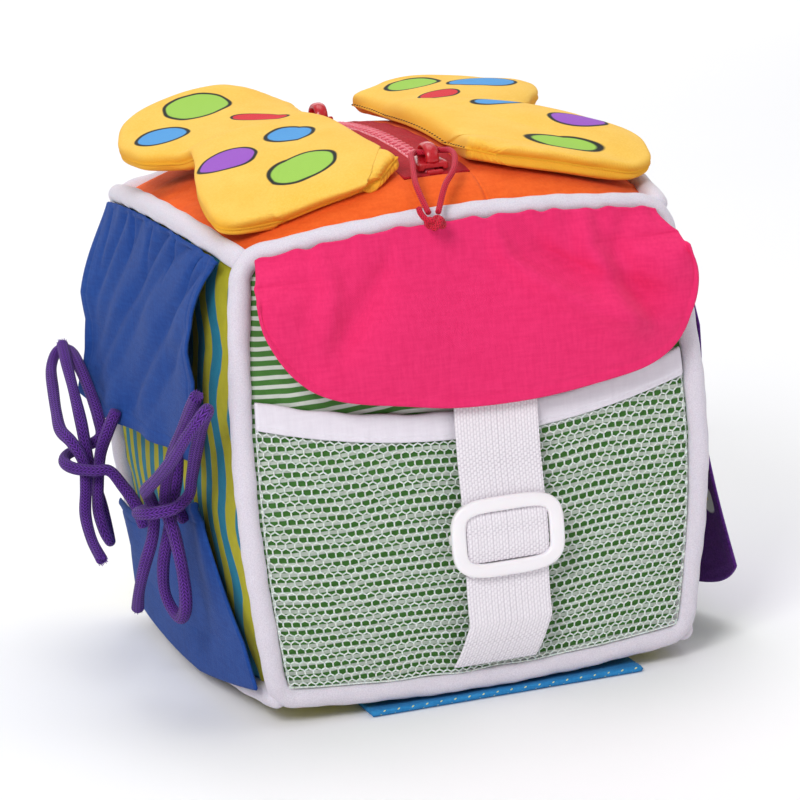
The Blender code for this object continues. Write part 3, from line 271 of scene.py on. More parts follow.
def ring_faces(across, along, shift=0):
    """The faces of a tube whose last row joins its first, turned by some points."""
    n = np.arange(across)
    last = (along - 1) * across
    ahead = (n + 1) % across
    join = np.column_stack((last + (n + shift) % across, last + (ahead + shift) % across, ahead, n))
    return [grid_faces(across, along, wrap=True), join]


def capped_faces(across, along):
    """The faces of a tube and of its two flat ends."""
    n = np.arange(across)
    return [grid_faces(across, along, wrap=True), n[::-1][None], (n + (along - 1) * across)[None]]


def unit_grid(across, along):
    """Shares from 0 to 1 across and along a sheet, as two grids."""
    return np.meshgrid(np.linspace(0, 1, across), np.linspace(0, 1, along))


def unit(vectors):
    """Vectors drawn to a length of one."""
    return vectors / np.maximum(np.linalg.norm(vectors, axis=-1, keepdims=True), 1e-12)


def clamped(value):
    """A value held between 0 and 1."""
    return np.clip(value, 0, 1)


def hill(away, width):
    """A bell curve: 1 where a distance is nothing, and faded past a width."""
    return np.exp(-(away / width) ** 2)


def run_along(path):
    """The run from a path's start to each of its points."""
    return np.append(0, np.cumsum(np.linalg.norm(np.diff(path, axis=0), axis=1)))


def at_runs(rows, run, places):
    """Rows of three values at places along the run that they belong to."""
    return np.column_stack([np.interp(places, run, rows[:, k]) for k in range(3)])


def settle(piece, slot, rider, *nodes):
    """Hide the CAD nodes that a finished piece replaces and attach it to the body it rides on. The slot is
    not used.
    """
    if nodes:
        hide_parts(*nodes)
    if rider:
        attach(piece, rider)


floor_finish = Finish("studio_floor", roughness=0.7)
floor_finish.colour(floor_finish.speckle(3.0, (248, 248, 249), (251, 251, 252)))
edge = np.linspace(-6, 6, 3)
floor_x, floor_y = np.meshgrid(edge, edge)
floor = build("studio_floor", np.stack((floor_x, floor_y, np.full_like(floor_x, -0.0003)), -1),
              [grid_faces(3, 3)], floor_finish)


# Ties: two bows of knitted purple polyester cord, 4.6 mm thick, cut off bare. Each bow is an upper and a
# lower cord, sewn to the two flaps of the left side, crossed and wrapped once round each other.
TIE_DIAMETER = 0.0046
MM = 0.001
FRONT_UPPER_START = ((-92.9, -42.6, 93.0),)
FRONT_LOWER_START = ((-91.0, -35.2, 66.0), (-93.6, -36.2, 69.9))
REAR_UPPER_START = ((-95.7, 34.6, 92.0),)
REAR_LOWER_START = ((-90.9, 27.0, 50.0), (-93.0, 27.4, 58.0), (-97.0, 28.4, 65.5))
BOW_UPPER_ROUTE = (
    (-94.9, -45.2, 84.0), (-97.5, -47.6, 76.0), (-99.5, -46.5, 66.0), (-101.5, -42.0, 53.0),
    (-101.0, -38.0, 42.0), (-99.0, -39.5, 35.0), (-97.5, -45.5, 33.5), (-97.0, -51.0, 40.0),
    (-97.8, -53.8, 52.0), (-99.6, -54.6, 65.0), (-101.4, -52.8, 76.0), (-101.4, -57.0, 86.0),
    (-100.6, -66.0, 97.0), (-99.6, -76.0, 106.0), (-98.6, -86.0, 115.0), (-97.6, -94.0, 122.0))
BOW_LOWER_ROUTE = (
    (-97.0, -37.6, 71.6), (-102.4, -38.8, 72.2), (-108.6, -43.6, 73.0), (-110.6, -50.4, 74.2),
    (-107.6, -57.4, 75.4), (-100.6, -60.2, 76.6), (-94.4, -58.4, 80.0), (-93.6, -62.0, 87.0),
    (-93.6, -72.0, 99.0), (-93.9, -84.0, 110.0), (-94.6, -95.0, 117.0), (-98.2, -100.5, 116.5),
    (-102.5, -95.0, 109.0), (-105.2, -83.0, 99.0), (-107.6, -70.0, 90.5), (-109.0, -59.0, 84.4),
    (-107.0, -50.8, 81.0), (-104.4, -46.6, 74.0), (-105.0, -44.4, 64.0), (-107.4, -38.0, 52.0),
    (-108.0, -29.0, 41.0), (-107.0, -20.0, 32.5))
GOLDEN_ANGLE = 2.39996
BOW_KNOT_RISE = 75.0
BOW_KNOT_REACH = 10.0
REAR_BOW_SHARE = 0.66
REAR_BOW_OFFSET = (-4.2, -8.0, 0.0)


def rear_bow(route):
    """The rear bow's route: the front one mirrored, moved, and shorter above and below its knot."""
    x, y, z = np.array(route).T
    kept = np.clip(z - BOW_KNOT_RISE, -BOW_KNOT_REACH, BOW_KNOT_REACH)
    rise = BOW_KNOT_RISE + kept + (z - BOW_KNOT_RISE - kept) * REAR_BOW_SHARE
    return np.column_stack((x, -y, rise)) + REAR_BOW_OFFSET


def smooth_line(points, shares):
    """Points at shares of an even walk along a Catmull-Rom curve through the given points."""
    path = np.asarray(points, float)
    padded = np.vstack((2 * path[0] - path[1], path, 2 * path[-1] - path[-2]))
    place = clamped(shares) * (len(path) - 1)
    k = np.minimum(place.astype(int), len(path) - 2)
    f = (place - k)[..., None]
    a, b, c, d = (padded[k + n] for n in range(4))
    return 0.5 * (2 * b + (c - a) * f + (2 * a - 5 * b + 4 * c - d) * f ** 2
                  + (3 * b - a - 3 * c + d) * f ** 3)


def even_path(points, step):
    """The same smooth line with its points one step apart, and its length."""
    line = smooth_line(points, np.linspace(0, 1, 60 * len(points)))
    run = run_along(line)
    return at_runs(line, run, np.linspace(0, run[-1], max(3, int(run[-1] / step)))), float(run[-1])


def cord_frames(path, closed=False):
    """Two square directions at each point of a path, carried along it without twist."""
    ahead = unit((np.roll(path, -1, 0) - np.roll(path, 1, 0)) if closed else np.gradient(path, axis=0))
    side = np.empty_like(ahead)
    side[0] = unit(np.cross(ahead[0], (0.31, 0.22, 0.92)))
    for k in range(1, len(path)):
        side[k] = unit(side[k - 1] - ahead[k] * (side[k - 1] @ ahead[k]))
    return side, np.cross(ahead, side), ahead


def cord_tube(name, path, radius, finish, sides=16, end_round=0.35):
    """A cord about a path, closed by rounded ends. Its map holds the share of a turn and the run."""
    side, other, ahead = cord_frames(path)
    radius = np.broadcast_to(radius, len(path))
    run = run_along(path)
    turn = np.linspace(0, 2 * math.pi, sides, endpoint=False)[None, :, None]
    ring = np.cos(turn) * side[:, None] + np.sin(turn) * other[:, None]
    ring = path[:, None] + radius[:, None, None] * ring
    start, end = ahead[0] * radius[0] * end_round, ahead[-1] * radius[-1] * end_round
    caps = ((0.55, 1.0), (0.88, 0.55))
    points = np.vstack([path[0] + (ring[0] - path[0]) * share - start * cap for share, cap in caps]
                       + list(ring)
                       + [path[-1] + (ring[-1] - path[-1]) * share + end * cap for share, cap in caps[::-1]]
                       + [path[0] - start * 1.1, path[-1] + end * 1.1])
    count = len(path) + 4
    n = np.arange(sides)
    last = (count - 1) * sides
    low = np.column_stack((np.full(sides, count * sides), (n + 1) % sides, n))
    high = np.column_stack((np.full(sides, count * sides + 1), last + n, last + (n + 1) % sides))
    along = np.concatenate((run[:1], run[:1], run, run[-1:], run[-1:]))
    flat = np.stack(np.broadcast_arrays(n[None, :] / sides, along[:, None]), -1).reshape(-1, 2)
    made = build(name, points, [grid_faces(sides, count, wrap=True), low, high], finish,
                 uv=np.vstack((flat, (0.5, run[0]), (0.5, run[-1]))))
    layer = made.data.uv_layers["surface"].data
    corners = np.empty(2 * len(layer))
    layer.foreach_get("uv", corners)
    seam = 4 * (np.arange(count - 1) * sides + sides - 1)
    corners[2 * (seam + 1)] = corners[2 * (seam + 2)] = 1.0
    layer.foreach_set("uv", corners)
    return made


def knitted(finish, legs, pitch, lean=1.3):
    """The height of a knitted cord's stitches, from 0 to 1: legs side by side that lean by turns."""
    turn, run = finish.place("UV")[:2]
    lane = finish.times(turn, legs)
    share = finish.math("FRACT", lane)
    way = finish.scale_add(finish.math("MODULO", finish.math("FLOOR", lane), 2.0), 2.0, -1.0)
    slant = finish.times(finish.times(way, lean * math.pi), finish.math("SUBTRACT", share, 0.5))
    wave = finish.math("ABSOLUTE", finish.math("SINE", finish.scale_add(run, math.pi / pitch, slant)))
    across = finish.math("SINE", finish.times(share, math.pi))
    return finish.times(finish.math("POWER", wave, 0.8), finish.math("POWER", across, 0.3))


knit_cord = Finish("purple_knitted_cord", roughness=0.7, sheen=0.08)
height = knitted(knit_cord, 12.0, 0.0014)
spot = knit_cord.spot()
fibres = knit_cord.noise(spot, 2600.0, detail=2.0)
# Painted shade: by the stitch height, the grooves between stitches are dyed dark and the crowns light; a
# painted highlight then lightens the tops of the crowns.
shade = knit_cord.mix(knit_cord.between(height, 0.2, 0.8), dye(30, 8, 58), dye(104, 48, 160))
painted_highlight = knit_cord.times(knit_cord.between(height, 0.7, 1.0), knit_cord.between(fibres, 0.5, 0.75))
shade = knit_cord.mix(painted_highlight, shade, dye(140, 92, 192))
worn = knit_cord.between(knit_cord.noise(spot, 160.0), 0.4, 0.7, 0.0, 0.3)
knit_cord.colour(knit_cord.mix(worn, shade, dye(58, 20, 100)))
knit_cord.bump(knit_cord.scale_add(fibres, 0.3, height), 0.0004, 0.9)
cord_fibres = grained("purple_cord_fibres", (74, 30, 124), (124, 76, 178), 900.0, 2600.0, 0.0001, 0.5,
                      roughness=0.75, sheen=0.1)


def rods(name, foot, tip, side, other, radius, taper, finish):
    """Many thin five-sided rods, each from a foot to a tip; side and other are square to their run."""
    turn = np.linspace(0, 2 * math.pi, 5, endpoint=False)[:, None]
    ring = radius * (np.cos(turn) * side[..., None, :] + np.sin(turn) * other[..., None, :])
    points = np.stack((foot[:, None] + ring, tip[:, None] + ring * taper), 1)
    n = np.arange(5)
    shift = 10 * np.arange(len(foot))[:, None]
    quads = np.column_stack((n, (n + 1) % 5, (n + 1) % 5 + 5, n + 5))
    faces = [(quads + shift[..., None]).reshape(-1, 4), n[::-1] + shift, n + 5 + shift]
    return build(name, points, faces, finish)


def make_tie(name, route):
    """One tie cord, a little uneven in its thickness, from its hem to its cut end."""
    path, length = even_path(np.array(route) * MM, 0.0006)
    run = np.linspace(0, length, len(path))
    slack = 0.00012 * np.sin(run * 190) + 0.00008 * np.sin(run * 77 + 1.0)
    tie = cord_tube(name, path, TIE_DIAMETER / 2 - 0.0001 + slack, knit_cord, sides=24)
    settle(tie, "purple_cord", "side_upper_flap", name.replace("_cord_braid", "_cord"))
    tuft = make_tuft(name + "_end", path[-1], path[-1] - path[-4])
    settle(tuft, "purple_cord", "side_upper_flap")


def make_tuft(name, end, way):
    """The cut end of a cord: a short sheaf of strand ends that spreads a little."""
    way = unit(way)
    side = unit(np.cross(way, (0.3, 0.2, 0.93)))
    other = np.cross(way, side)
    count = 34
    k = np.arange(count)
    reach = np.sqrt((k + 0.5) / count)
    angle = k * GOLDEN_ANGLE
    out = np.cos(angle)[:, None] * side + np.sin(angle)[:, None] * other
    foot = end - way * 0.0008 + out * reach[:, None] * 0.0017
    tip = end + way * (0.0008 + 0.0008 * np.sin(k * 1.7) ** 2)[:, None] + out * (reach * 0.0021)[:, None]
    return rods(name, foot, tip, side, other, 0.00022, 0.7, cord_fibres)


make_tie("front_tie_upper_cord_braid", [*FRONT_UPPER_START, *BOW_UPPER_ROUTE])
make_tie("front_tie_lower_cord_braid", [*FRONT_LOWER_START, *BOW_LOWER_ROUTE])
make_tie("rear_tie_upper_cord_braid", [*REAR_UPPER_START, *rear_bow(BOW_UPPER_ROUTE)])
make_tie("rear_tie_lower_cord_braid", [*REAR_LOWER_START, *rear_bow(BOW_LOWER_ROUTE)])


# Zip pull: a doubled red polyester cord, 2.2 mm thick. Its bight lies in the front slider's bail, and its two
# strands close to a tear shape and end in an overhand knot with one short cut end.
PULL_DIAMETER = 0.0022
ZIP_ARC_RADIUS = 0.415385
ZIP_LEVEL = 0.18815
ZIP_AXIS_HEIGHT = ZIP_LEVEL - ZIP_ARC_RADIUS
PULL_CENTRE = np.array((0.0, -0.062603, 0.189069))
PULL_LEFT_ROUTE = ((-5.1, 0.6, 0.0), (-7.6, -4.5, 0.0), (-9.4, -11.0, -1.6), (-11.8, -19.0, -4.4),
                   (-13.4, -26.8, -7.8), (-13.4, -36.6, -14.6))
PULL_RIGHT_ROUTE = ((5.1, 0.6, 0.0), (6.8, -4.5, 0.2), (5.8, -11.5, -1.2), (2.0, -20.0, -4.2),
                    (-3.8, -27.4, -7.8), (-10.0, -36.8, -14.8))
PULL_KNOT_PLACE = np.array((-12.0, -39.6, -17.8))
pull_cord = Finish("red_braided_cord", roughness=0.6, sheen=0.08)
height = knitted(pull_cord, 10.0, 0.0009, lean=1.0)
# Painted shade: by the stitch height, the grooves are dyed darker and the crowns lighter; a painted highlight
# adds pale pink glints at random.
shade = pull_cord.mix(pull_cord.between(height, 0.15, 0.85), dye(140, 6, 30), dye(224, 26, 62))
painted_highlight = pull_cord.between(pull_cord.noise(pull_cord.spot(), 2400.0), 0.6, 0.8, 0.0, 0.5)
pull_cord.colour(pull_cord.mix(painted_highlight, shade, dye(240, 96, 124)))
pull_cord.bump(height, 0.00025, 0.8)


def thin_cord(name, path, radius=PULL_DIAMETER / 2):
    """A piece of the thin red cord."""
    return cord_tube(name, path, radius - 0.00005, pull_cord, sides=14)


bight_path, _ = even_path(PULL_CENTRE + MM * np.array(
    ((-5.2, 0.45, 0.0), (-3.9, 1.5, 0.0), (-1.8, 0.5, 0.0), (0.0, 0.0, 0.0), (1.8, 0.5, 0.0), (3.9, 1.5, 0.0),
     (5.2, 0.45, 0.0))), 0.0004)
bight = thin_cord("zip_pull_bight_cord", bight_path)
settle(bight, "red_cord", "zip_pull_hitch", "zip_pull_bight")

# The knot is one cord wound twice about itself, drawn small, with its cut end standing out at the side.
knot_turn = np.linspace(0, 2 * math.pi, 60)
knot_line = np.column_stack((np.sin(knot_turn) + 2 * np.sin(2 * knot_turn),
                             np.cos(knot_turn) - 2 * np.cos(2 * knot_turn), -1.25 * np.sin(3 * knot_turn)))
knot_line = knot_line * (1.02, 0.86, 1.05) * MM
knot_centre = PULL_CENTRE + PULL_KNOT_PLACE * MM
knot = thin_cord("zip_pull_knot_cord", knot_centre + knot_line, PULL_DIAMETER / 2 + 0.00005)
end_path, _ = even_path(knot_centre + MM * np.array(
    ((-1.6, 0.4, 0.6), (-3.2, 1.0, 1.6), (-4.3, 2.2, 3.4), (-4.6, 3.2, 5.2))), 0.0004)
knot_end = thin_cord("zip_pull_cut_end", end_path)
for piece in (knot, knot_end):
    settle(piece, "red_cord", "zip_pull")
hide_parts("zip_pull_knot")
for name, route in (("zip_pull_left_strand", PULL_LEFT_ROUTE), ("zip_pull_right_strand", PULL_RIGHT_ROUTE)):
    path, length = even_path(PULL_CENTRE + MM * np.array(route), 0.0004)
    strand = thin_cord(name + "_cord", path)
    settle(strand, "red_cord", "zip_pull", name)


# Body: a cube stuffed with fibre wadding, its faces crowned by the filling. Six cloth panels meet in seams
# with piping; the seams draw the cloth in small puckers.
HALF_WIDTH, HALF_DEPTH, HALF_HEIGHT = 0.0755, 0.083, 0.0768
CORNER_RISE = 0.0103
EDGE_BOW, BOTTOM_EDGE_BOW = 0.007, 0.0035
SIDE_CROWN, TOP_CROWN, BOTTOM_CROWN = 0.010, 0.025, 0.010
CENTRE_HEIGHT = CORNER_RISE + HALF_HEIGHT
BODY_FLOOR = 0.0023
PIPING_RADIUS = 0.0038
TOP_ROUND_SHARE, TOP_STEEPNESS = 0.25, 12


def bulge(p, q, bow, crown, round_share=1.0):
    """How far a face stands out at shares p and q of its half sides, fuller along q if less round."""
    across, along = 1 - p * p, 1 - q * q
    full = 1 - round_share * q * q - (1 - round_share) * q ** TOP_STEEPNESS
    return bow * (across + along) + (crown - 2 * bow) * across * full


def side_bow(t):
    """How far the side seams bow outwards at a height: less towards the loaded bottom."""
    return EDGE_BOW + (BOTTOM_EDGE_BOW - EDGE_BOW) * np.maximum(0.0, -t) ** 2


def body(cx, cy, cz, sink=0.0, lowest=BODY_FLOOR):
    """Places on the stuffed body that belong to places of the cube from -1 to 1, sunk by a depth."""
    cx, cy, cz, sink = np.broadcast_arrays(cx, cy, cz, sink)
    bow = np.where(cz > 0, EDGE_BOW, BOTTOM_EDGE_BOW)
    crown = np.where(cz > 0, TOP_CROWN, BOTTOM_CROWN)
    x = cx * (HALF_WIDTH - sink + bulge(cy, cz, side_bow(cz), SIDE_CROWN))
    y = cy * (HALF_DEPTH - sink + bulge(cx, cz, side_bow(cz), SIDE_CROWN))
    roundness = np.where(cz > 0, TOP_ROUND_SHARE, 1.0)
    z = CENTRE_HEIGHT + cz * (HALF_HEIGHT - sink + bulge(cx, cy, bow, crown, roundness))
    return np.stack((x, y, np.maximum(z, lowest + sink)), -1)


def level_share(z):
    """The share of the half height at a height."""
    return np.clip((z - CENTRE_HEIGHT) / (HALF_HEIGHT + EDGE_BOW), -1, 1)


def panel_out(half, other_half, across, z):
    """How far an upright panel stands out from the middle, at a place across it and a height."""
    share, level = np.clip(across / (other_half + EDGE_BOW), -1, 1), level_share(z)
    return half + bulge(share, level, side_bow(level), SIDE_CROWN)


def front_out(x, z):
    """How far the front panel stands out along -Y."""
    return panel_out(HALF_DEPTH, HALF_WIDTH, x, z)


def side_out(y, z):
    """How far a side panel stands out along X."""
    return panel_out(HALF_WIDTH, HALF_DEPTH, y, z)


def top_height(x, y):
    """The height of the top panel, by a few steps of its own formula turned round."""
    s, t = np.zeros_like(x * y), np.zeros_like(x * y)
    for _ in range(4):
        s = np.clip(x / (HALF_WIDTH + EDGE_BOW * (1 - t * t)), -1, 1)
        t = np.clip(y / (HALF_DEPTH + EDGE_BOW * (1 - s * s)), -1, 1)
    return CENTRE_HEIGHT + HALF_HEIGHT + bulge(s, t, EDGE_BOW, TOP_CROWN, TOP_ROUND_SHARE)


def normals(points):
    """The unit direction square to a grid of points, columns first and rows second."""
    down, over = np.gradient(points, axis=0), np.gradient(points, axis=1)
    return unit(np.cross(over, down))


def cloth(name, points, thickness, finish, size, flip=False, marks=None, hem=0.4, kept=None):
    """A sheet of cloth from a grid of its face: a back one thickness behind it, and rounded edges.

    A mask of its faces may leave out some, and the opening then gets an edge of its own.
    """
    along, across = points.shape[:2]
    count = along * across
    out = (normals(points) * (-1 if flip else 1)).reshape(-1, 3)
    face = points.reshape(-1, 3)
    rear = face - out * thickness
    quads = grid_faces(across, along)
    if kept is not None:
        quads = quads[kept.ravel()]
    if flip:
        quads = quads[:, ::-1]
    start, end = quads.ravel(), np.roll(quads, -1, 1).ravel()
    free = ~np.isin(start * count + end, end * count + start)
    start, end = start[free], end[free]
    push = np.cross(face[end] - face[start], out[start])
    outward = np.zeros_like(face)
    np.add.at(outward, start, push)
    np.add.at(outward, end, push)
    border = np.unique(start)
    rim = (face[border] + rear[border]) / 2 + unit(outward[border]) * thickness * hem
    slot = np.zeros(count, int)
    slot[border] = 2 * count + np.arange(len(border))
    faces = [quads, quads[:, ::-1] + count, np.column_stack((end, start, slot[start], slot[end])),
             np.column_stack((slot[end], slot[start], count + start, count + end))]
    used = np.unique(np.concatenate([part.ravel() for part in faces]))
    number = np.zeros(2 * count + len(border), int)
    number[used] = np.arange(len(used))
    u, v = np.meshgrid(np.linspace(0, size[0], across), np.linspace(0, size[1], along))
    flat = np.column_stack((u.ravel(), v.ravel()))
    values = {key: np.concatenate((value.ravel(), value.ravel(), value.ravel()[border]))[used]
              for key, value in (marks or {}).items()}
    return build(name, np.vstack((face, rear, rim))[used], [number[part] for part in faces], finish,
                 uv=np.vstack((flat, flat, flat[border]))[used], marks=values)


stuffing = grained("fibre_wadding", (214, 211, 204), (245, 243, 238), 900.0, 700.0, 0.001, details=(5.0, 6.0),
                   roughness=1.0, sheen=0.2)
FILL_COUNT = 41
fill_points, fill_faces = [], []
share = np.linspace(-1, 1, FILL_COUNT)
fill_u, fill_v = np.meshgrid(share, share)
for axis in range(3):
    for sign in (-1, 1):
        spots = [None, None, None]
        spots[axis] = np.full_like(fill_u, sign)
        spots[(axis + 1) % 3], spots[(axis + 2) % 3] = fill_u, fill_v
        near = np.sort(np.abs(np.stack(spots)), axis=0)[1] ** 8
        fill_points.append(body(*spots, sink=0.0028 + 0.004 * near).reshape(-1, 3))
        block = grid_faces(FILL_COUNT, FILL_COUNT) + (len(fill_points) - 1) * FILL_COUNT ** 2
        fill_faces.append(block if sign > 0 else block[:, ::-1])
stuffed = build("stuffed_body", np.vstack(fill_points), fill_faces, stuffing)
welding = stuffed.modifiers.new("seam", "WELD")
welding.merge_threshold = 0.00005
settle(stuffed, "wadding", "cube", "filling_core")


def pucker(s, t, seed):
    """The depth of the small puckers at a panel's seams: ridges square to each seam that fade inwards."""
    depth = 0.0
    for near, run, phase in ((s, t, 0.0), (-s, t, 1.9), (t, s, 3.1), (-t, s, 4.4)):
        fade = np.exp(-(1 - near) / 0.085)
        ridges = np.sin(run * 31 + phase + seed) + 0.6 * np.sin(run * 53 + 2 * phase + 1.7 * seed)
        depth = depth + fade * (0.5 + 0.31 * ridges)
    return np.clip(depth, 0, 1.3)


CLOTH_THICKNESS = 0.0012
SLOT_HALF_WIDTH, SLOT_FRONT, SLOT_REAR = 0.0121, -0.0713, 0.0773


def make_panel(name, axis, sign, finish, slot, size, seed, depth, count=121, opened=False):
    """One cloth face of the body between its pipings, puckered at the seams, with the zip's slot if asked."""
    share = np.linspace(-1, 1, count)
    s, t = np.meshgrid(share, share)
    others = [k for k in range(3) if k != axis]
    halves = (HALF_WIDTH, HALF_DEPTH, HALF_HEIGHT)
    reach = [1 - (PIPING_RADIUS - 0.0014) / halves[k] for k in others]
    spots = [None, None, None]
    spots[axis] = np.full_like(s, sign)
    spots[others[0]] = reach[0] * s * (1 - 0.025 * np.abs(t) ** 8)
    spots[others[1]] = reach[1] * t * (1 - 0.025 * np.abs(s) ** 8)
    kept = None
    if opened:
        lane, cut = SLOT_HALF_WIDTH / (HALF_WIDTH + EDGE_BOW * (1 - spots[1] ** 2)), 0.15
        beyond = (np.abs(s) - cut) / (1 - cut)
        wide = np.sign(s) * (lane + beyond * (np.abs(spots[0]) - lane))
        spots[0] = np.where(beyond < 0, s / cut * lane, wide)
        middle = body(*spots)[:-1, :-1, 1]
        beside = np.abs(s[:-1, :-1] + 1 / (count - 1)) > cut
        kept = beside | (middle < SLOT_FRONT - 0.0006) | (middle > SLOT_REAR)
    slack = 0.25 * np.sin(s * 5 + seed) * np.sin(t * 4.3 + 2 * seed)
    points = body(*spots)
    out = normals(points)
    if out[count // 2, count // 2, axis] * sign < 0:
        out = -out
    points = points - out * (depth * (pucker(s, t, seed) + slack + 0.25))[..., None]
    flip = normals(points)[count // 2, count // 2, axis] * sign < 0
    panel = cloth(name, points, CLOTH_THICKNESS, finish, size, flip=flip, kept=kept)
    settle(panel, slot, "cube")
    return panel


# Front and side panels: striped cotton jersey. The front is dark green and pale grey across; the left and
# right are teal and mustard upright, in hand-drawn waves.
green_stripe = Finish("green_striped_jersey", roughness=0.92, sheen=0.04)
x, y, z, spot = green_stripe.place()
drift = green_stripe.times(green_stripe.noise(spot, 28.0), 0.0035)
drift = green_stripe.scale_add(green_stripe.sine(x, 0.071, 0.6), 0.0009, drift)
wave = green_stripe.sine(green_stripe.math("ADD", z, drift), 0.0033)
knit = green_stripe.weave(x, z, 0.00042)
dark = green_stripe.speckle(240.0, (58, 108, 46), (80, 132, 62))
pale = green_stripe.speckle(300.0, (196, 206, 194), (216, 222, 214))
green_stripe.colour(green_stripe.mix(green_stripe.between(wave, 0.0, 0.5), dark, pale))
green_stripe.bump(knit, 0.00018, 0.5)

teal_wave = Finish("teal_striped_jersey", roughness=0.92, sheen=0.04)
x, y, z, spot = teal_wave.place()
swing = teal_wave.times(teal_wave.noise(spot, 34.0, stretch=(1, 0.5, 1)), 0.007)
swing = teal_wave.scale_add(teal_wave.sine(z, 0.041, 0.4), 0.0022, swing)
widening = teal_wave.between(y, -0.085, -0.015, 0.5, 1.0)
wave = teal_wave.sine(teal_wave.scale_add(teal_wave.math("ADD", y, 0.085), widening, swing), 0.0142)
teal = teal_wave.speckle(220.0, (16, 108, 138), (34, 132, 160))
mustard = teal_wave.speckle(220.0, (162, 156, 26), (188, 180, 44))
teal_wave.colour(teal_wave.mix(teal_wave.between(wave, -0.12, 0.12), mustard, teal))
teal_wave.bump(teal_wave.weave(y, z, 0.00042), 0.00018, 0.5)


def plain_cloth(name, low, high, pitch=0.0004, axes=(0, 2), roughness=0.9, sheen=0.04, relief=0.00012,
                clouding=0.2):
    """A plain woven cloth of one dye, uneven by a few percent, with its weave in relief."""
    made = Finish(name, roughness=roughness, sheen=sheen)
    *parts, spot = made.place()
    along, across = (made.noise(spot, 900.0, detail=2.0, stretch=stretch)
                     for stretch in ((1, 1, 0.15), (0.15, 0.15, 1)))
    clouds = made.noise(spot, 40.0, detail=3.0)
    slubs = made.scale_add(along, 0.5, made.times(across, 0.5))
    tone = made.scale_add(slubs, 1 - clouding, made.times(clouds, clouding))
    made.colour(made.mix(made.between(tone, 0.3, 0.7), dye(*low), dye(*high)))
    made.bump(made.scale_add(slubs, 0.8, made.weave(parts[axes[0]], parts[axes[1]], pitch)), relief, 0.6)
    return made


orange = plain_cloth("orange_jersey", (230, 90, 26), (240, 104, 36), axes=(0, 1), clouding=0.1)
lime = plain_cloth("lime_jersey", (176, 170, 28), (206, 198, 52), axes=(0, 1))
lime_back = plain_cloth("lime_back_jersey", (180, 174, 30), (208, 200, 54), axes=(0, 2))
for name, axis, sign, finish, slot, size, seed, depth, flat in (
        ("front_panel", 1, -1, green_stripe, "green_stripe", (0.15, 0.15), 0.3, 0.0004, (0.151, 0.153)),
        ("back_panel", 1, 1, lime_back, "lime_cloth", (0.15, 0.15), 1.1, 0.0007, (0.151, 0.153)),
        ("left_panel", 0, -1, teal_wave, "teal_wave", (0.16, 0.15), 2.2, 0.0011, (0.166, 0.153)),
        ("right_panel", 0, 1, teal_wave, "teal_wave", (0.16, 0.15), 3.7, 0.0008, (0.166, 0.153)),
        ("bottom_panel", 2, -1, lime, "lime_cloth", (0.15, 0.16), 4.1, 0.0002, (0.151, 0.166))):
    panel = make_panel(name + "_cloth", axis, sign, finish, slot, size, seed, depth)
    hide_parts(name)

# The top panel is one piece of orange jersey with a slot for the zip's tapes.
top_panel = make_panel("top_panel_cloth", 2, 1, orange, "orange_cloth", (0.16, 0.17), 5.0, 0.0005,
                       opened=True)
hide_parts("top_panel")


# Piping: a cord covered in white knit, about 8 mm thick, sewn into every seam. It runs round the front and
# the back face, and four rails join the two rings.
fleece = Finish("white_fleece", roughness=1.0, sheen=0.25, subsurface=0.08)
spot = fleece.spot()
nap = fleece.noise(spot, 2600.0, detail=3.0, roughness=0.6)
soil = fleece.noise(spot, 45.0, detail=3.0)
shade = fleece.mix(fleece.between(nap, 0.3, 0.7), dye(206, 199, 210), dye(222, 216, 225))
fleece.colour(fleece.mix(fleece.between(soil, 0.55, 0.8, 0.0, 0.15), shade, dye(212, 203, 217)))
fleece.bump(fleece.scale_add(fleece.noise(spot, 500.0), 0.5, nap), 0.00022, 0.6)


PIPING_SIDES = 24
CORNER_CUT = 0.1
RIM_CORNERS = ((-1, -1), (1, -1), (1, 1), (-1, 1))


def piping(name, path, closed):
    """A soft roll along a path, a little uneven."""
    if not closed:
        roll = 0.00016 * np.sin(np.linspace(0, 46, len(path)))
        return cord_tube(name, path, PIPING_RADIUS + roll, fleece, sides=PIPING_SIDES, end_round=0.6)
    side, other, _ = cord_frames(path, closed=True)
    turn = np.linspace(0, 2 * math.pi, PIPING_SIDES, endpoint=False)
    along = np.linspace(0, 2 * math.pi, len(path), endpoint=False)[:, None]
    size = PIPING_RADIUS + 0.00014 * np.sin(23 * along + 2 * turn) + 0.0001 * np.sin(61 * along - turn)
    ring = path[:, None] + size[..., None] * (np.cos(turn)[None, :, None] * side[:, None]
                                              + np.sin(turn)[None, :, None] * other[:, None])
    twist = math.atan2(side[0] @ other[-1], side[0] @ side[-1])
    shift = int(round(twist / (2 * math.pi) * PIPING_SIDES)) % PIPING_SIDES
    return build(name, ring, ring_faces(PIPING_SIDES, len(path), shift), fleece)


def rim_place(first, second, share, face):
    """Places on a face's rim, at shares from -1 to 1 of the way between two of its corners."""
    x, z = ((a + b) / 2 + share * (b - a) / 2 for a, b in zip(first, second))
    return body(x, face, z, lowest=0.0)


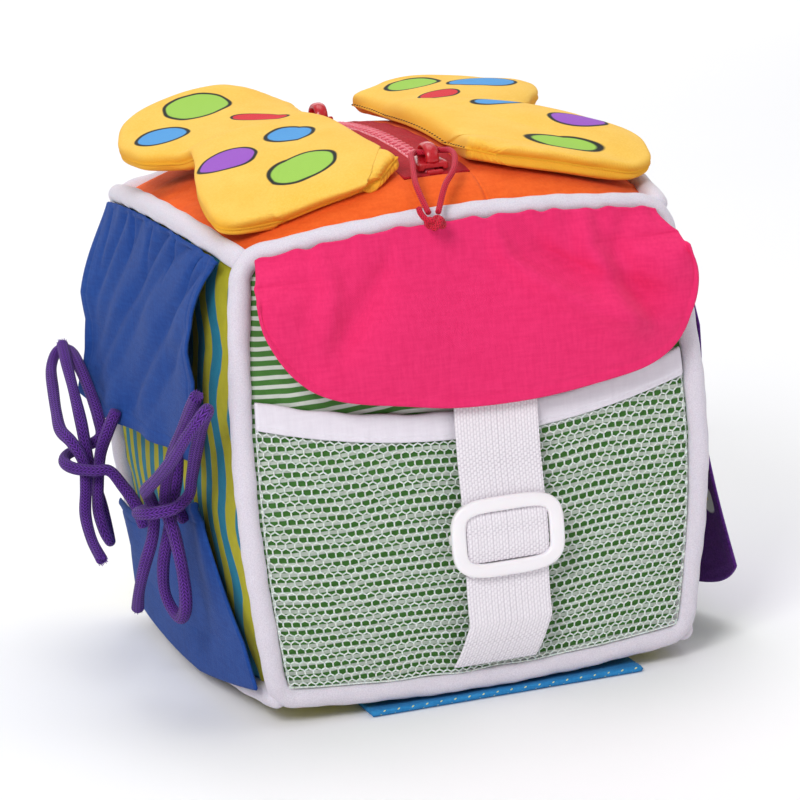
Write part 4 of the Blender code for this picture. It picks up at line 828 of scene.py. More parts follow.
for node, face in (("front_piping", -1.0), ("back_piping", 1.0)):
    stations = []
    for k, corner in enumerate(RIM_CORNERS):
        following, after = RIM_CORNERS[(k + 1) % 4], RIM_CORNERS[(k + 2) % 4]
        share = np.linspace(CORNER_CUT - 1, 1 - CORNER_CUT, 70)
        stations.append(rim_place(corner, following, share, face))
        f = np.linspace(0, 1, 12)[1:-1, None]
        end = rim_place(following, after, CORNER_CUT - 1, face)
        tip = body(float(following[0]), face, float(following[1]), lowest=0.0)
        stations.append(stations[-1][-1] * (1 - f) ** 2 + tip * 2 * f * (1 - f) + end * f * f)
    ring = piping(node + "_fleece", np.vstack(stations), True)
    settle(ring, "white_fleece", "cube", node)
for node, cx, cz in (("top_left_piping", -1.0, 1.0), ("top_right_piping", 1.0, 1.0),
                     ("bottom_left_piping", -1.0, -1.0), ("bottom_right_piping", 1.0, -1.0)):
    reach = 1 - (PIPING_RADIUS - 0.003) / HALF_DEPTH
    rail = piping(node + "_fleece", body(cx, np.linspace(-reach, reach, 150), cz, lowest=0.0), False)
    settle(rail, "white_fleece", "cube", node)


# Zip: a size 5 moulded zip, its red tapes sewn in along the top and its teeth moulded on a cord at each
# tape's edge. An empty cloth bag hangs under it.
ZIP_TAPE_WIDTH, ZIP_TAPE_THICKNESS = 0.0085, 0.0008
ZIP_FRONT, ZIP_REAR = 0.071, 0.077
TOOTH_PITCH, TOOTH_LENGTH, TOOTH_REACH = 0.0042, 0.0017, 0.003
TOOTH_OVERLAP, TOOTH_HEIGHT, TOOTH_CORD_RADIUS = 0.0009, 0.0026, 0.0007
TAPE_EDGE, TOOTH_CORD_SIDES, TOOTH_CORD_ROWS = TOOTH_REACH - 0.0006, 10, 90
GAP = 0.0003


def on_zip(x, along, up):
    """Places by their run along the curved zip from the cube's middle and their height over the chain."""
    angle, radius = along / ZIP_ARC_RADIUS, ZIP_ARC_RADIUS + up
    place = np.broadcast_arrays(x, radius * np.sin(angle), ZIP_AXIS_HEIGHT + radius * np.cos(angle))
    return np.stack(place, -1)


def drawn(value, power):
    """A sine or cosine drawn out towards a square one."""
    return np.sign(value) * np.abs(value) ** power


def rounded_block(centre, halves, edge=0.4, across=10, along=7):
    """Places on a rounded block: a ball whose sine and cosine are drawn out towards a box, and its faces."""
    turn = np.linspace(0, 2 * math.pi, across, endpoint=False)[None, :]
    tilt = np.linspace(-math.pi / 2, math.pi / 2, along)[1:-1, None]
    wide = drawn(np.cos(tilt), edge)
    ring = np.stack(np.broadcast_arrays(wide * drawn(np.cos(turn), edge), wide * drawn(np.sin(turn), edge),
                                        drawn(np.sin(tilt), edge)), -1)
    points = np.vstack((ring.reshape(-1, 3), (0, 0, -1), (0, 0, 1)))
    rows = along - 2
    n = np.arange(across)
    low = np.column_stack((np.full(across, rows * across), (n + 1) % across, n))
    high = np.column_stack((np.full(across, rows * across + 1), (rows - 1) * across + n,
                            (rows - 1) * across + (n + 1) % across))
    return np.asarray(centre) + points * np.asarray(halves), [grid_faces(across, rows, wrap=True), low, high]


def repeated(points, faces, places):
    """The same small shape at many places: each place is a row of the shape's points."""
    shift = len(points) * np.arange(len(places))[:, None, None]
    return places.reshape(-1, 3), [(block[None] + shift).reshape(-1, block.shape[1])
                                   for block in map(np.asarray, faces)]


red_tape = Finish("red_zip_tape", roughness=0.8, sheen=0.03)
x, y, z, spot = red_tape.place()
rib = red_tape.sine(red_tape.scale_add(red_tape.sine(x, 0.0018), 0.0003, y), 0.0006)
shade = red_tape.between(red_tape.scale_add(rib, 0.3, red_tape.noise(spot, 700.0)), 0.25, 0.85)
red_tape.colour(red_tape.mix(shade, dye(150, 4, 22), dye(196, 12, 36)))
red_tape.bump(rib, 0.00012, 0.6)
red_plastic = Finish("red_moulded_plastic", roughness=0.33, coat=0.25, subsurface=0.05)
spot = red_plastic.spot()
red_plastic.colour(red_plastic.speckle(120.0, (176, 12, 28), (198, 22, 38)))
red_plastic.rough(red_plastic.between(red_plastic.noise(spot, 900.0), 0.3, 0.7, 0.26, 0.42))
red_plastic.bump(red_plastic.noise(spot, 500.0, detail=4.0), 0.00005, 0.5)
# The teeth are dyed pinker than the stops: their own red with a painted highlight of their gloss mixed in.
tooth_red = grained("red_moulded_teeth", (204, 60, 82), (224, 100, 118), 300.0, 900.0, 0.00004, 0.5,
                    roughness=0.38, coat=0.2, subsurface=0.1)

for side, name in ((-1, "left"), (1, "right")):
    columns = np.sort(side * np.linspace(TAPE_EDGE, TOOTH_REACH + GAP + ZIP_TAPE_WIDTH, 24))
    across, run = np.meshgrid(columns, np.linspace(-ZIP_FRONT, ZIP_REAR, 160))
    ripple = 0.00015 * np.sin(run * 300 + across * 200)
    tape = cloth(f"zip_tape_{name}_cloth", on_zip(across, run, ZIP_TAPE_THICKNESS / 2 - 0.0001 + ripple),
                 ZIP_TAPE_THICKNESS, red_tape, (ZIP_TAPE_WIDTH, 0.148))
    settle(tape, "red_tape", "cube", f"zip_tape_{name}")

    # Each tooth is a rounded block with a narrower head that reaches past the middle of the chain.
    block, faces = rounded_block((0, 0, 0), (0.5, 0.5, 0.5), edge=0.45)
    count = int((ZIP_FRONT + ZIP_REAR - 6 * TOOTH_LENGTH) / TOOTH_PITCH)
    starts = -ZIP_FRONT + 3 * TOOTH_LENGTH + (np.arange(count) + (0.5 if side > 0 else 0.0)) * TOOTH_PITCH
    near, far = side * (TOOTH_REACH - 0.0002), -side * TOOTH_OVERLAP
    head = 0.5 - side * block[:, 0]
    reach = near + (far - near) * head
    width = TOOTH_LENGTH * (1.15 - 0.3 * np.sin(clamped(head) * math.pi) * (head < 0.72))
    rows = on_zip(reach[None, :], starts[:, None] + block[None, :, 1] * width[None, :],
                  (block[:, 2] * TOOTH_HEIGHT)[None, :])
    tooth_points, tooth_faces = repeated(block, faces, rows)
    cord_turn, cord_run = np.meshgrid(
        np.linspace(0, 2 * math.pi, TOOTH_CORD_SIDES, endpoint=False),
        np.linspace(starts[0] - TOOTH_LENGTH, starts[-1] + TOOTH_LENGTH, TOOTH_CORD_ROWS))
    rim = on_zip(side * TAPE_EDGE + TOOTH_CORD_RADIUS * np.cos(cord_turn), cord_run,
                 TOOTH_CORD_RADIUS * np.sin(cord_turn))
    rim_faces = [block[:, ::-1] + len(tooth_points)
                 for block in capped_faces(TOOTH_CORD_SIDES, TOOTH_CORD_ROWS)]
    chain = build(f"zip_teeth_{name}_moulded", np.vstack((tooth_points, rim.reshape(-1, 3))),
                  tooth_faces + rim_faces, tooth_red)
    settle(chain, "red_moulding", "cube", f"zip_teeth_{name}")
stop_halves = (TOOTH_REACH, TOOTH_LENGTH / 2, TOOTH_HEIGHT / 2)
for name, along in (("zip_front_stop", TOOTH_LENGTH - ZIP_FRONT), ("zip_rear_stop", ZIP_REAR - TOOTH_LENGTH)):
    points, faces = rounded_block((0, along, 0), stop_halves, 0.35, 24, 13)
    stop = build(name + "_moulded", on_zip(*points.T), faces, red_plastic)
    settle(stop, "red_moulding", "cube", name)
lining = plain_cloth("red_bag_lining", (150, 6, 24), (186, 14, 36), axes=(0, 1))
across, run = np.meshgrid(np.linspace(-0.017, 0.017, 40), np.linspace(-ZIP_FRONT, ZIP_REAR, 150))
under = 0.0025 + 0.0022 * (run / HALF_DEPTH) ** 8 - 0.0001 * np.sin(run * 260)
bag = cloth("zip_bag_cloth", np.stack((across, run, top_height(across, run) - under), -1), 0.0011, lining,
            (0.034, 0.148))
settle(bag, "red_lining", "cube", "zip_bag")

# Sliders: glossy moulded bodies, wide at the mouth, with lips that hold the chain and a bail on top that
# the pull's cord passes through. They face the zip's two ends.
SLIDER_LENGTH, SLIDER_WIDTH = 0.012, 0.011
SLIDER_BASE = TOOTH_HEIGHT / 2 + GAP
SLIDER_TOP, SLIDER_LIP, SLIDER_ROWS = SLIDER_BASE + 0.0017, 0.0009, 25
BAIL_REACH, BAIL_RADIUS = 0.0048, 0.0012
for name, along, facing in (("zip_slider_front", -0.062, -1), ("zip_slider_rear", 0.066, 1)):
    stations = np.linspace(-1, 1, SLIDER_ROWS)
    half = np.interp(stations, (-1, -0.2, 0.5, 1), (0.0041, 0.0046, 0.0054, SLIDER_WIDTH / 2))
    drop = SLIDER_BASE - SLIDER_LIP
    lip_share = SLIDER_LIP / (SLIDER_WIDTH / 2)
    outer = [(1 - lip_share * (1 - math.cos(a)), SLIDER_TOP - SLIDER_LIP * (1 - math.sin(a)))
             for a in np.linspace(0, math.pi / 2, 5)]
    outline = np.array([(1.0, drop), *outer, *[(-w, h) for w, h in outer[::-1]], (-1.0, drop), (-0.69, drop),
                        (-0.66, SLIDER_BASE - 0.0001), (0.66, SLIDER_BASE - 0.0001), (0.69, drop)])
    ends = 1 - 0.09 * clamped((np.abs(stations) - 0.86) / 0.14) ** 2
    x = outline[None, :, 0] * (half * ends)[:, None]
    up = outline[None, :, 1]
    up = np.where(up > SLIDER_BASE, SLIDER_BASE + (up - SLIDER_BASE) * ends[:, None], up)
    run = facing * stations[:, None] * SLIDER_LENGTH / 2
    shell = on_zip(x, along + run, up).reshape(-1, 3)
    faces = capped_faces(len(outline), SLIDER_ROWS)
    if facing < 0:
        faces = [block[:, ::-1] for block in faces]
    plate = build(name + "_body", shell, faces, red_plastic, smooth=False)
    rounding = plate.modifiers.new("rounded_edges", "BEVEL")
    rounding.width, rounding.segments, rounding.limit_method = 0.00025, 2, "ANGLE"
    a = np.linspace(-0.08, math.pi + 0.08, 40)
    up = SLIDER_TOP - 0.0002 + BAIL_REACH * np.abs(np.sin(a)) ** 0.8
    arch = on_zip(0.0, along + BAIL_REACH * np.cos(a), up)
    bail = cord_tube(name + "_bail", arch, BAIL_RADIUS, red_plastic)
    bail.data.transform(Matrix.Scale(2.0, 4, (1, 0, 0)))
    for piece in (plate, bail):
        settle(piece, "red_moulding", name)
    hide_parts(name)


# Wings: two yellow pads beside the zip, each cut with two lobes, filled with wadding and printed with plain
# spots. The root is sewn to the zip with dark thread; the rim is free.
WING_THICKNESS, WING_ROOT_OFFSET, WING_RISE = 0.009, 0.0125, 0.030
LEFT_WING_SHARES = ((0.28, -0.89, 0.66), (0.50, -0.91, 0.46), (0.74, -0.91, 0.34), (0.99, -0.90, 0.30),
                    (1.07, -0.83, 0.38), (1.05, -0.60, 0.55), (0.98, -0.34, 0.65), (0.90, -0.08, 0.78),
                    (0.94, 0.06, 0.70), (1.09, 0.22, 0.69), (1.12, 0.44, 0.76), (1.03, 0.64, 0.95),
                    (0.83, 0.75, 1.12), (0.56, 0.79, 1.22), (0.32, 0.78, 1.06))
RIGHT_WING_SHARES = ((0.28, -0.88, 0.76), (0.50, -0.91, 0.64), (0.74, -0.92, 0.48), (0.94, -0.90, 0.36),
                     (1.06, -0.81, 0.42), (1.08, -0.60, 0.57), (0.99, -0.36, 0.66), (0.87, -0.14, 0.75),
                     (0.78, 0.06, 0.76), (0.87, 0.18, 0.80), (1.00, 0.38, 0.84), (1.03, 0.58, 0.86),
                     (0.92, 0.74, 0.88), (0.62, 0.80, 1.00), (0.30, 0.80, 1.04))


def wing_finish(name, spots):
    """Yellow brushed cotton with printed ovals, each an uneven ring of dark ink filled with one colour;
    painted shade turns the pad's sides and underside a deeper gold.
    """
    made = Finish(name, roughness=0.9, sheen=0.05)
    x, y, _, spot = made.place()
    tone = made.times(made.noise(spot, 70.0, detail=4.0), 0.5)
    tone = made.scale_add(made.noise(spot, 1300.0, detail=2.0), 0.5, tone)
    shade = made.mix(made.between(tone, 0.3, 0.7), dye(244, 192, 76), dye(249, 203, 96))
    # Painted shade: the mesh's side mark darkens the rim's walls and the underside to a deeper gold.
    shade = made.mix(made.mark("side"), shade, dye(236, 170, 44))
    wobble = made.noise(spot, 70.0, detail=1.0)
    for cx, cy, rx, ry, lean, ink in spots:
        c, s = math.cos(math.radians(lean)), math.sin(math.radians(lean))
        dx, dy = made.math("SUBTRACT", x, cx * MM), made.math("SUBTRACT", y, cy * MM)
        a = made.scale_add(dx, c / (rx * MM), made.times(dy, s / (rx * MM)))
        b = made.scale_add(dy, c / (ry * MM), made.times(dx, -s / (ry * MM)))
        far = made.math("SQRT", made.scale_add(a, a, made.times(b, b)))
        far = made.scale_add(wobble, 0.32, made.math("SUBTRACT", far, 0.16))
        line = 1.3 / ry
        inside = made.between(far, 1.0 - line * 0.25, 1.0 + line * 0.25, 1.0, 0.0)
        outline = made.between(far, 1.0 + line * 0.75, 1.0 + line * 1.25, 1.0, 0.0)
        shade = made.mix(outline, shade, dye(40, 44, 40))
        shade = made.mix(inside, shade, ink)
    made.colour(shade)
    made.bump(made.scale_add(made.noise(spot, 1500.0), 0.7, made.weave(x, y, 0.0005)), 0.00022, 0.6)
    return made


GREEN_INK, BLUE_INK = dye(158, 204, 84), dye(84, 158, 220)
PURPLE_INK, RED_INK = dye(156, 88, 196), dye(218, 44, 56)
left_print = wing_finish("yellow_left_wing_cotton", (
    (-52, 47, 12, 10, 20, GREEN_INK), (-71, 26, 9, 8, -35, BLUE_INK), (-36, 20, 5.5, 11, 40, RED_INK),
    (-64, -34, 9.5, 10, 10, PURPLE_INK), (-37, -22, 10, 7, 40, BLUE_INK), (-44, -58, 11.5, 9, 12, GREEN_INK)))
right_print = wing_finish("yellow_right_wing_cotton", (
    (56, 38, 12, 12, -12, BLUE_INK), (34, 54, 10, 7, 15, GREEN_INK), (32, 18, 7, 9, -35, RED_INK),
    (46, -8, 10, 6, 25, BLUE_INK), (64, -40, 9.5, 9, 12, PURPLE_INK), (50, -64, 11, 5.5, -12, GREEN_INK)))


def wing_middle(side, outline, u, v):
    """A wing's middle surface, from its root at the zip to its rim, lifted to lie on the top panel."""
    front, rear = -0.80 * HALF_DEPTH, 0.74 * HALF_DEPTH
    rim = np.array(outline) * (side * HALF_WIDTH, HALF_DEPTH, WING_RISE) + (0, 0, CENTRE_HEIGHT + HALF_HEIGHT)
    share = 0.16 * np.maximum(0, 1 - (1 - v) / 0.45) ** 1.5 + 0.16 * np.maximum(0, 1 - v / 0.25) ** 1.5
    root = on_zip(side * WING_ROOT_OFFSET, front + v * (rear - front), 0.0016 + WING_RISE * share)
    middle = root + (smooth_line(rim, v) - root) * u[..., None]
    middle[..., 2] += 0.004 * 4 * u * (1 - u) * np.sin(math.pi * v)
    full = np.sqrt((1 - np.abs(2 * u - 1) ** 3) * (1 - np.abs(2 * v - 1) ** 3))
    lowest = top_height(*np.moveaxis(middle, -1, 0)[:2]) + WING_THICKNESS / 2 * (0.16 + 0.84 * full) + 3 * GAP
    middle[..., 2] = np.maximum(middle[..., 2], lowest)
    return middle


def make_wing(name, side, outline, finish):
    """A wing as a closed pad: its rim stands nearly square, and puckers along the seam draw its face in."""
    across, along = 91, 181
    u, v = (0.5 - 0.5 * np.cos(math.pi * share) for share in unit_grid(across, along))
    middle = wing_middle(side, outline, u, v)
    out = normals(middle) * side
    inset = np.minimum(np.minimum((1 - u) * 0.07, v * 0.12), (1 - v) * 0.12)
    wall = (1 - np.exp(-(inset / 0.0014) ** 1.6)) * (1 - np.exp(-(u * 0.07 / 0.003) ** 1.6))
    crown = ((1 - np.abs(2 * u - 1) ** 2.4) * (1 - np.abs(2 * v - 1) ** 2.4)) ** 0.6
    ridges = np.sin(v * 88 + u * 9) + 0.7 * np.sin(v * 51 + 2) + 0.5 * np.sin(u * 40)
    # The cloth bulges past the seam round the rim, and the seam itself is drawn in.
    ahead = middle - np.mean(middle[:, across // 2], axis=0)
    ahead[..., 2] = 0
    swell = 0.0013 * hill(inset - 0.0016, 0.0012) * (1 + 0.25 * ridges)
    swell = (swell - 0.0005 * hill(inset, 0.0005)) * clamped(u / 0.2)
    middle = middle + unit(ahead) * swell[..., None]
    rim_near = np.exp(-inset / 0.004)
    half = WING_THICKNESS / 2 * (0.08 + 0.76 * wall + 0.16 * crown)
    face = half - 0.0005 * rim_near * (1 + ridges * 0.6) * wall
    face = face + 0.0004 * np.sin(v * 13 + side) * np.sin(u * 7) * wall
    rear = half - 0.0003 * rim_near * (1 + 0.6 * np.sin(v * 70)) * wall
    upper, lower = middle + out * face[..., None], middle - out * rear[..., None]
    count = across * along
    loop = np.concatenate((np.arange(across), across * np.arange(1, along) + across - 1,
                           count - 2 - np.arange(across - 1), across * np.arange(along - 2, 0, -1)))
    edge = middle.reshape(-1, 3)[loop]
    ahead = np.roll(edge, -1, 0) - np.roll(edge, 1, 0)
    rim = edge + unit(np.cross(ahead, out.reshape(-1, 3)[loop])) * side * 0.0004
    ring, loop_after = 2 * count + np.arange(len(loop)), np.roll(loop, -1)
    ring_after = np.roll(ring, -1)
    walls = [np.column_stack((loop, ring, ring_after, loop_after)),
             np.column_stack((ring, count + loop, count + loop_after, ring_after))]
    quads = grid_faces(across, along)
    faces = [quads, quads[:, ::-1] + count, *walls]
    if side < 0:
        faces = [block[:, ::-1] for block in faces]
    # The side mark places painted shade: high on the steep walls by the rim, 0.9 on the underside and 1 on
    # the rim's edge.
    slope = clamped(1.25 - 1.3 * wall)
    painted_side_shade = np.concatenate((slope.ravel(), np.full(count, 0.9), np.ones(len(loop))))
    wing = build(name + "_pad", np.vstack((upper.reshape(-1, 3), lower.reshape(-1, 3), rim)), faces, finish,
                 marks={"side": painted_side_shade})
    settle(wing, "yellow_print", name, name)
    return wing, upper


def thread_finish(name, low, high, roughness=0.6, sheen=0.3, grain=1800.0):
    """Spun sewing thread of one dye."""
    return grained(name, low, high, grain, 3000.0, 0.0001, 0.6, roughness=roughness, sheen=sheen)


def stitches(name, path, out, finish, length, pitch, width, lean=0.0):
    """Thread stitches along a path: low rounded bars, one pitch apart, turned by a lean in the surface."""
    run = run_along(path)
    spots = np.arange(pitch / 2, run[-1], pitch)
    place, ahead = at_runs(path, run, spots), unit(at_runs(np.gradient(path, axis=0), run, spots))
    up = unit(np.asarray(out) - ahead * np.sum(out * ahead, axis=1)[:, None])
    over = np.cross(up, ahead)
    c, s = math.cos(lean), math.sin(lean)
    ahead, over = ahead * c + over * s, over * c - ahead * s
    block, faces = rounded_block((0, 0, 0), (1, 1, 1), 0.8, 8, 6)
    block = block[:, [2, 0, 1]]
    rows = (place[:, None] + ahead[:, None] * block[None, :, :1] * length / 2
            + over[:, None] * block[None, :, 1:2] * width / 2
            + up[:, None] * (block[None, :, 2:] * width / 2.4 - width * 0.12))
    points, faces = repeated(block, faces, rows)
    return build(name, points, faces, finish)


thread = thread_finish("dark_sewing_thread", (40, 20, 18), (78, 34, 26), roughness=0.7, grain=2000.0)
for name, side, outline, finish in (("left_wing", -1, LEFT_WING_SHARES, left_print),
                                    ("right_wing", 1, RIGHT_WING_SHARES, right_print)):
    wing, upper = make_wing(name, side, outline, finish)
    sewn = stitches(name + "_root_stitches", upper[10:-10, 5], (0, 0, 1), thread, 0.0016, 0.0028, 0.0005, 0.7)
    settle(sewn, "red_cord", name)


# Pocket: white polyester net of six-sided meshes, sewn in at its sides and foot. Its upper edge is bound
# with a folded white tape and sags between the seams.
NET_PITCH = 0.0030
NET_THREAD, NET_OVERLAP = 0.00056, 0.0001
POCKET_HEIGHT, POCKET_SAG = 0.104, 0.011
NET_HALF_WIDTH, NET_HEIGHT = 0.0755, 0.090
BINDING_HEIGHT = 0.0098
NET_REACH = 1 - (PIPING_RADIUS + 2 * GAP) / HALF_WIDTH
NET_LIFT = GAP + 0.0009


def pocket_x(s, z):
    """The place across the front at a share of the panel's width at a height."""
    bow = EDGE_BOW * (1 - np.clip((z - CENTRE_HEIGHT) / HALF_HEIGHT, -1, 1) ** 2)
    return s * NET_REACH * (HALF_WIDTH + bow)


def pocket_top(s):
    """The height of the pocket's upper edge, which sags between the side seams."""
    share = pocket_x(s, POCKET_HEIGHT) / HALF_WIDTH
    return POCKET_HEIGHT + POCKET_SAG * (share * share - 0.09 * share)


def net_place(across, rise):
    """Places of the net by its own width and height, laid on the front panel, drawn together at the foot."""
    s = np.clip(across / NET_HALF_WIDTH, -1, 1)
    v = clamped(rise / NET_HEIGHT)
    foot = CORNER_RISE + PIPING_RADIUS - BOTTOM_EDGE_BOW * (1 - s * s)
    level = v - 0.02 * np.sin(np.pi * v) ** 2
    z = foot + level * (pocket_top(s) - BINDING_HEIGHT + 0.002 - foot)
    low = hill(v - 0.09, 0.10)
    z = z + low * 0.0011 * np.sin(s * 17 + 0.8) * hill(s + 0.12, 0.42)
    x = pocket_x(s, z)
    lift = NET_LIFT - 0.0004 + 0.0011 * (1 - s ** 4) * np.sin(np.pi * v)
    return np.stack((x, -front_out(x, z) - lift, z), -1)


net_finish = Finish("white_polyester_net", roughness=0.6, sheen=0.2, subsurface=0.1)
spot = net_finish.spot()
shade = net_finish.between(net_finish.noise(spot, 800.0), 0.35, 0.65)
net_finish.colour(net_finish.mix(shade, dye(206, 214, 206), dye(236, 240, 236)))
net_finish.bump(net_finish.noise(spot, 2600.0), 0.0001, 0.6)
mesh_half, mesh_row = NET_PITCH / (2 * math.sqrt(3)), NET_PITCH * math.sqrt(3) / 2
c, r = np.meshgrid(np.arange(-26, 27), np.arange(-1, 36))
knot_x = (c * NET_PITCH + (r % 2) * NET_PITCH / 2).ravel()
knot_z = (r * mesh_row).ravel()
below = np.column_stack((knot_x, knot_z - mesh_half))
above = np.column_stack((knot_x, knot_z + mesh_half))
slants = [np.stack((above, above + (way * NET_PITCH / 2, mesh_row - 2 * mesh_half)), 1) for way in (1, -1)]
threads = np.vstack([np.stack((below, above), 1), *slants])
threads = np.clip(threads, (-NET_HALF_WIDTH, 0), (NET_HALF_WIDTH, NET_HEIGHT))
threads = threads[np.linalg.norm(threads[:, 0] - threads[:, 1], axis=1) > 0.0002]
start, end = net_place(*threads[:, 0].T), net_place(*threads[:, 1].T)
ahead = unit(end - start)
over = unit(np.cross(ahead, (0, -1, 0)))
reach = ahead * NET_OVERLAP
net = rods("pocket_net_mesh", start - reach, end + reach, over, np.cross(ahead, over), NET_THREAD / 2, 1.0,
           net_finish)
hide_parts("pocket_net")
settle(net, "white_net", "cube")

binding_finish = plain_cloth("white_binding_tape", (225, 219, 229), (231, 226, 235), pitch=0.0005, sheen=0.1,
                             roughness=0.5, relief=0.00006, clouding=0.05)
s, v = np.meshgrid(np.linspace(-1, 1, 160), np.linspace(0, 1, 24))
fold = 1 - (2 * v - 1) ** 8
rise = pocket_top(s) - BINDING_HEIGHT * (1 - v) + 0.00025 * np.sin(s * 26) * v
x = pocket_x(s, rise)
ridge = 0.0013 + 0.0006 * fold - 0.00035 * hill(v - 0.16, 0.05)
ridge = ridge + 0.00012 * np.sin(s * 70) * (1 - v)
face = np.stack((x, -front_out(x, rise) - GAP - ridge, rise), -1)
binding = cloth("pocket_binding_tape", face, CLOTH_THICKNESS, binding_finish, (0.15, 0.01))
white_thread = thread_finish("white_sewing_thread", (214, 208, 216), (244, 240, 246))
hem_stitches = stitches("pocket_binding_stitches", face[4], (0, -1, 0), white_thread, 0.0022, 0.0031, 0.00045)
for piece in (binding, hem_stitches):
    settle(piece, "white_binding", "cube")
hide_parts("pocket_binding")


# Strap: white polypropylene webbing, 30 mm wide and 1.2 mm thick, sewn in at both ends. It runs taut over
# the slide's bar, and its loop over the bar fills the slide's window.
WEBBING_WIDTH, WEBBING_THICKNESS = 0.030, 0.0012
STRAP_CENTRE, STRAP_FOOT_CENTRE = 0.006, 0.001
SLIDE_RISE, SLIDE_WIDTH, SLIDE_LENGTH, SLIDE_THICKNESS = 0.060, 0.041, 0.028, 0.003
SLIDE_WINDOW_LENGTH, SLIDE_CORNER = 0.018, 0.006
FRONT_HINGE_RISE = 0.156
BAR_BACK = float(front_out(STRAP_CENTRE, CENTRE_HEIGHT)) + NET_LIFT + 0.0012 + 2 * GAP
STRAP_FRONT = BAR_BACK + 0.0018 + GAP + WEBBING_THICKNESS
webbing = Finish("white_webbing", roughness=0.72, sheen=0.2)
height = webbing.mark("weave")
fibres = webbing.noise(webbing.spot(), 2200.0, stretch=(1, 1, 0.4))
# Painted shade: by the relief mark, the low places between the floats are dyed darker and the floats lighter.
shade = webbing.mix(webbing.between(height, 0.1, 0.75), dye(208, 201, 209), dye(242, 237, 242))
webbing.colour(webbing.mix(webbing.between(fibres, 0.35, 0.7, 0.35, 0.0), shade, dye(222, 214, 222)))
webbing.bump(webbing.scale_add(fibres, 0.5, height), 0.00025, 0.7)


def webbing_height(across, along):
    """The webbing's relief from 0 to 1: columns of long floats, each half a float off its neighbours."""
    column = across / 0.0011
    lane = np.floor(column)
    hump = np.abs(np.sin(np.pi * column)) ** 0.7
    floats = np.abs(np.sin(np.pi * (along / 0.0017 + 0.5 * (lane % 2)))) ** 0.6
    return hump * floats


def webbing_strip(name, centre, out, rise, width):
    """A length of webbing, by the middle, the stand-off and the height of each of its rows."""
    across = np.linspace(-width / 2, width / 2, 97)
    run = run_along(np.column_stack((out, rise)))
    relief = webbing_height(across[None, :], run[:, None])
    selvedge = clamped((np.abs(across) - (width / 2 - 0.0012)) / 0.0012)
    face = np.stack(np.broadcast_arrays(centre[:, None] + across[None, :],
                                        -(out[:, None] - 0.0002 + 0.00022 * relief - 0.0003 * selvedge ** 2),
                                        rise[:, None]), -1)
    made = cloth(name, face, WEBBING_THICKNESS - 0.0003, webbing, (width, run[-1]), marks={"weave": relief})
    return made


foot, straight = CORNER_RISE + PIPING_RADIUS - 0.001, SLIDE_RISE - 0.012 - SLIDE_LENGTH / 2 - 0.005
high, head = SLIDE_RISE + 0.016 + SLIDE_LENGTH / 2 + 0.005, FRONT_HINGE_RISE - 0.010
rise = np.arange(foot, head, 0.00042)
ease = clamped((rise - foot) / (straight - foot))
low_near = front_out(STRAP_FOOT_CENTRE, rise) + NET_LIFT + 0.0009 + WEBBING_THICKNESS + GAP
up_ease = clamped((rise - high) / (head - high))
high_near = front_out(STRAP_CENTRE, rise) + 0.0018 * (1 - up_ease) + WEBBING_THICKNESS + GAP
out = low_near + (STRAP_FRONT - low_near) * ease ** 0.8
out = np.where(rise > high, np.maximum(high_near, STRAP_FRONT + (high_near - STRAP_FRONT) * up_ease), out)
middle = STRAP_FOOT_CENTRE + (STRAP_CENTRE - STRAP_FOOT_CENTRE) * ease + 0.0003 * np.sin(rise * 120)
strap = webbing_strip("strap_webbing_weave", middle, out, rise, WEBBING_WIDTH)
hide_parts("strap_webbing")
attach(strap, "cube")
rise = np.linspace(-SLIDE_WINDOW_LENGTH / 2 + 0.0003, SLIDE_WINDOW_LENGTH / 2 - 0.0003, 44)
swell = np.sqrt(clamped(1 - (rise / (SLIDE_WINDOW_LENGTH / 2)) ** 4))
loop = webbing_strip("strap_slide_loop", np.full_like(rise, STRAP_CENTRE),
                     STRAP_FRONT + 0.0009 + 0.0014 * swell, SLIDE_RISE + rise, WEBBING_WIDTH - 0.0006)
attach(loop, "strap_slide")

# Slide: a glossy white moulded frame with rounded edges; its bar lies behind the webbing, joined at the
# window's sides. It can be pushed up and down the strap.
gloss = Finish("white_moulded_plastic", roughness=0.36, coat=0.1, subsurface=0.1)
gloss.colour(gloss.speckle(60.0, (238, 233, 237), (244, 241, 244)))
gloss.rough(gloss.between(gloss.noise(gloss.spot(), 300.0, detail=4.0), 0.35, 0.7, 0.32, 0.42))


def rounded_outline(width, length, corner, count=96):
    """Points round a rectangle with round corners, by the direction from its middle."""
    turn = np.linspace(0, 2 * math.pi, count, endpoint=False)
    c, s = np.cos(turn), np.sin(turn)
    power = 5.5 if corner < 0.004 else 3.6
    reach = (np.abs(c / (width / 2)) ** power + np.abs(s / (length / 2)) ** power) ** (-1 / power)
    return np.column_stack((c * reach, s * reach))


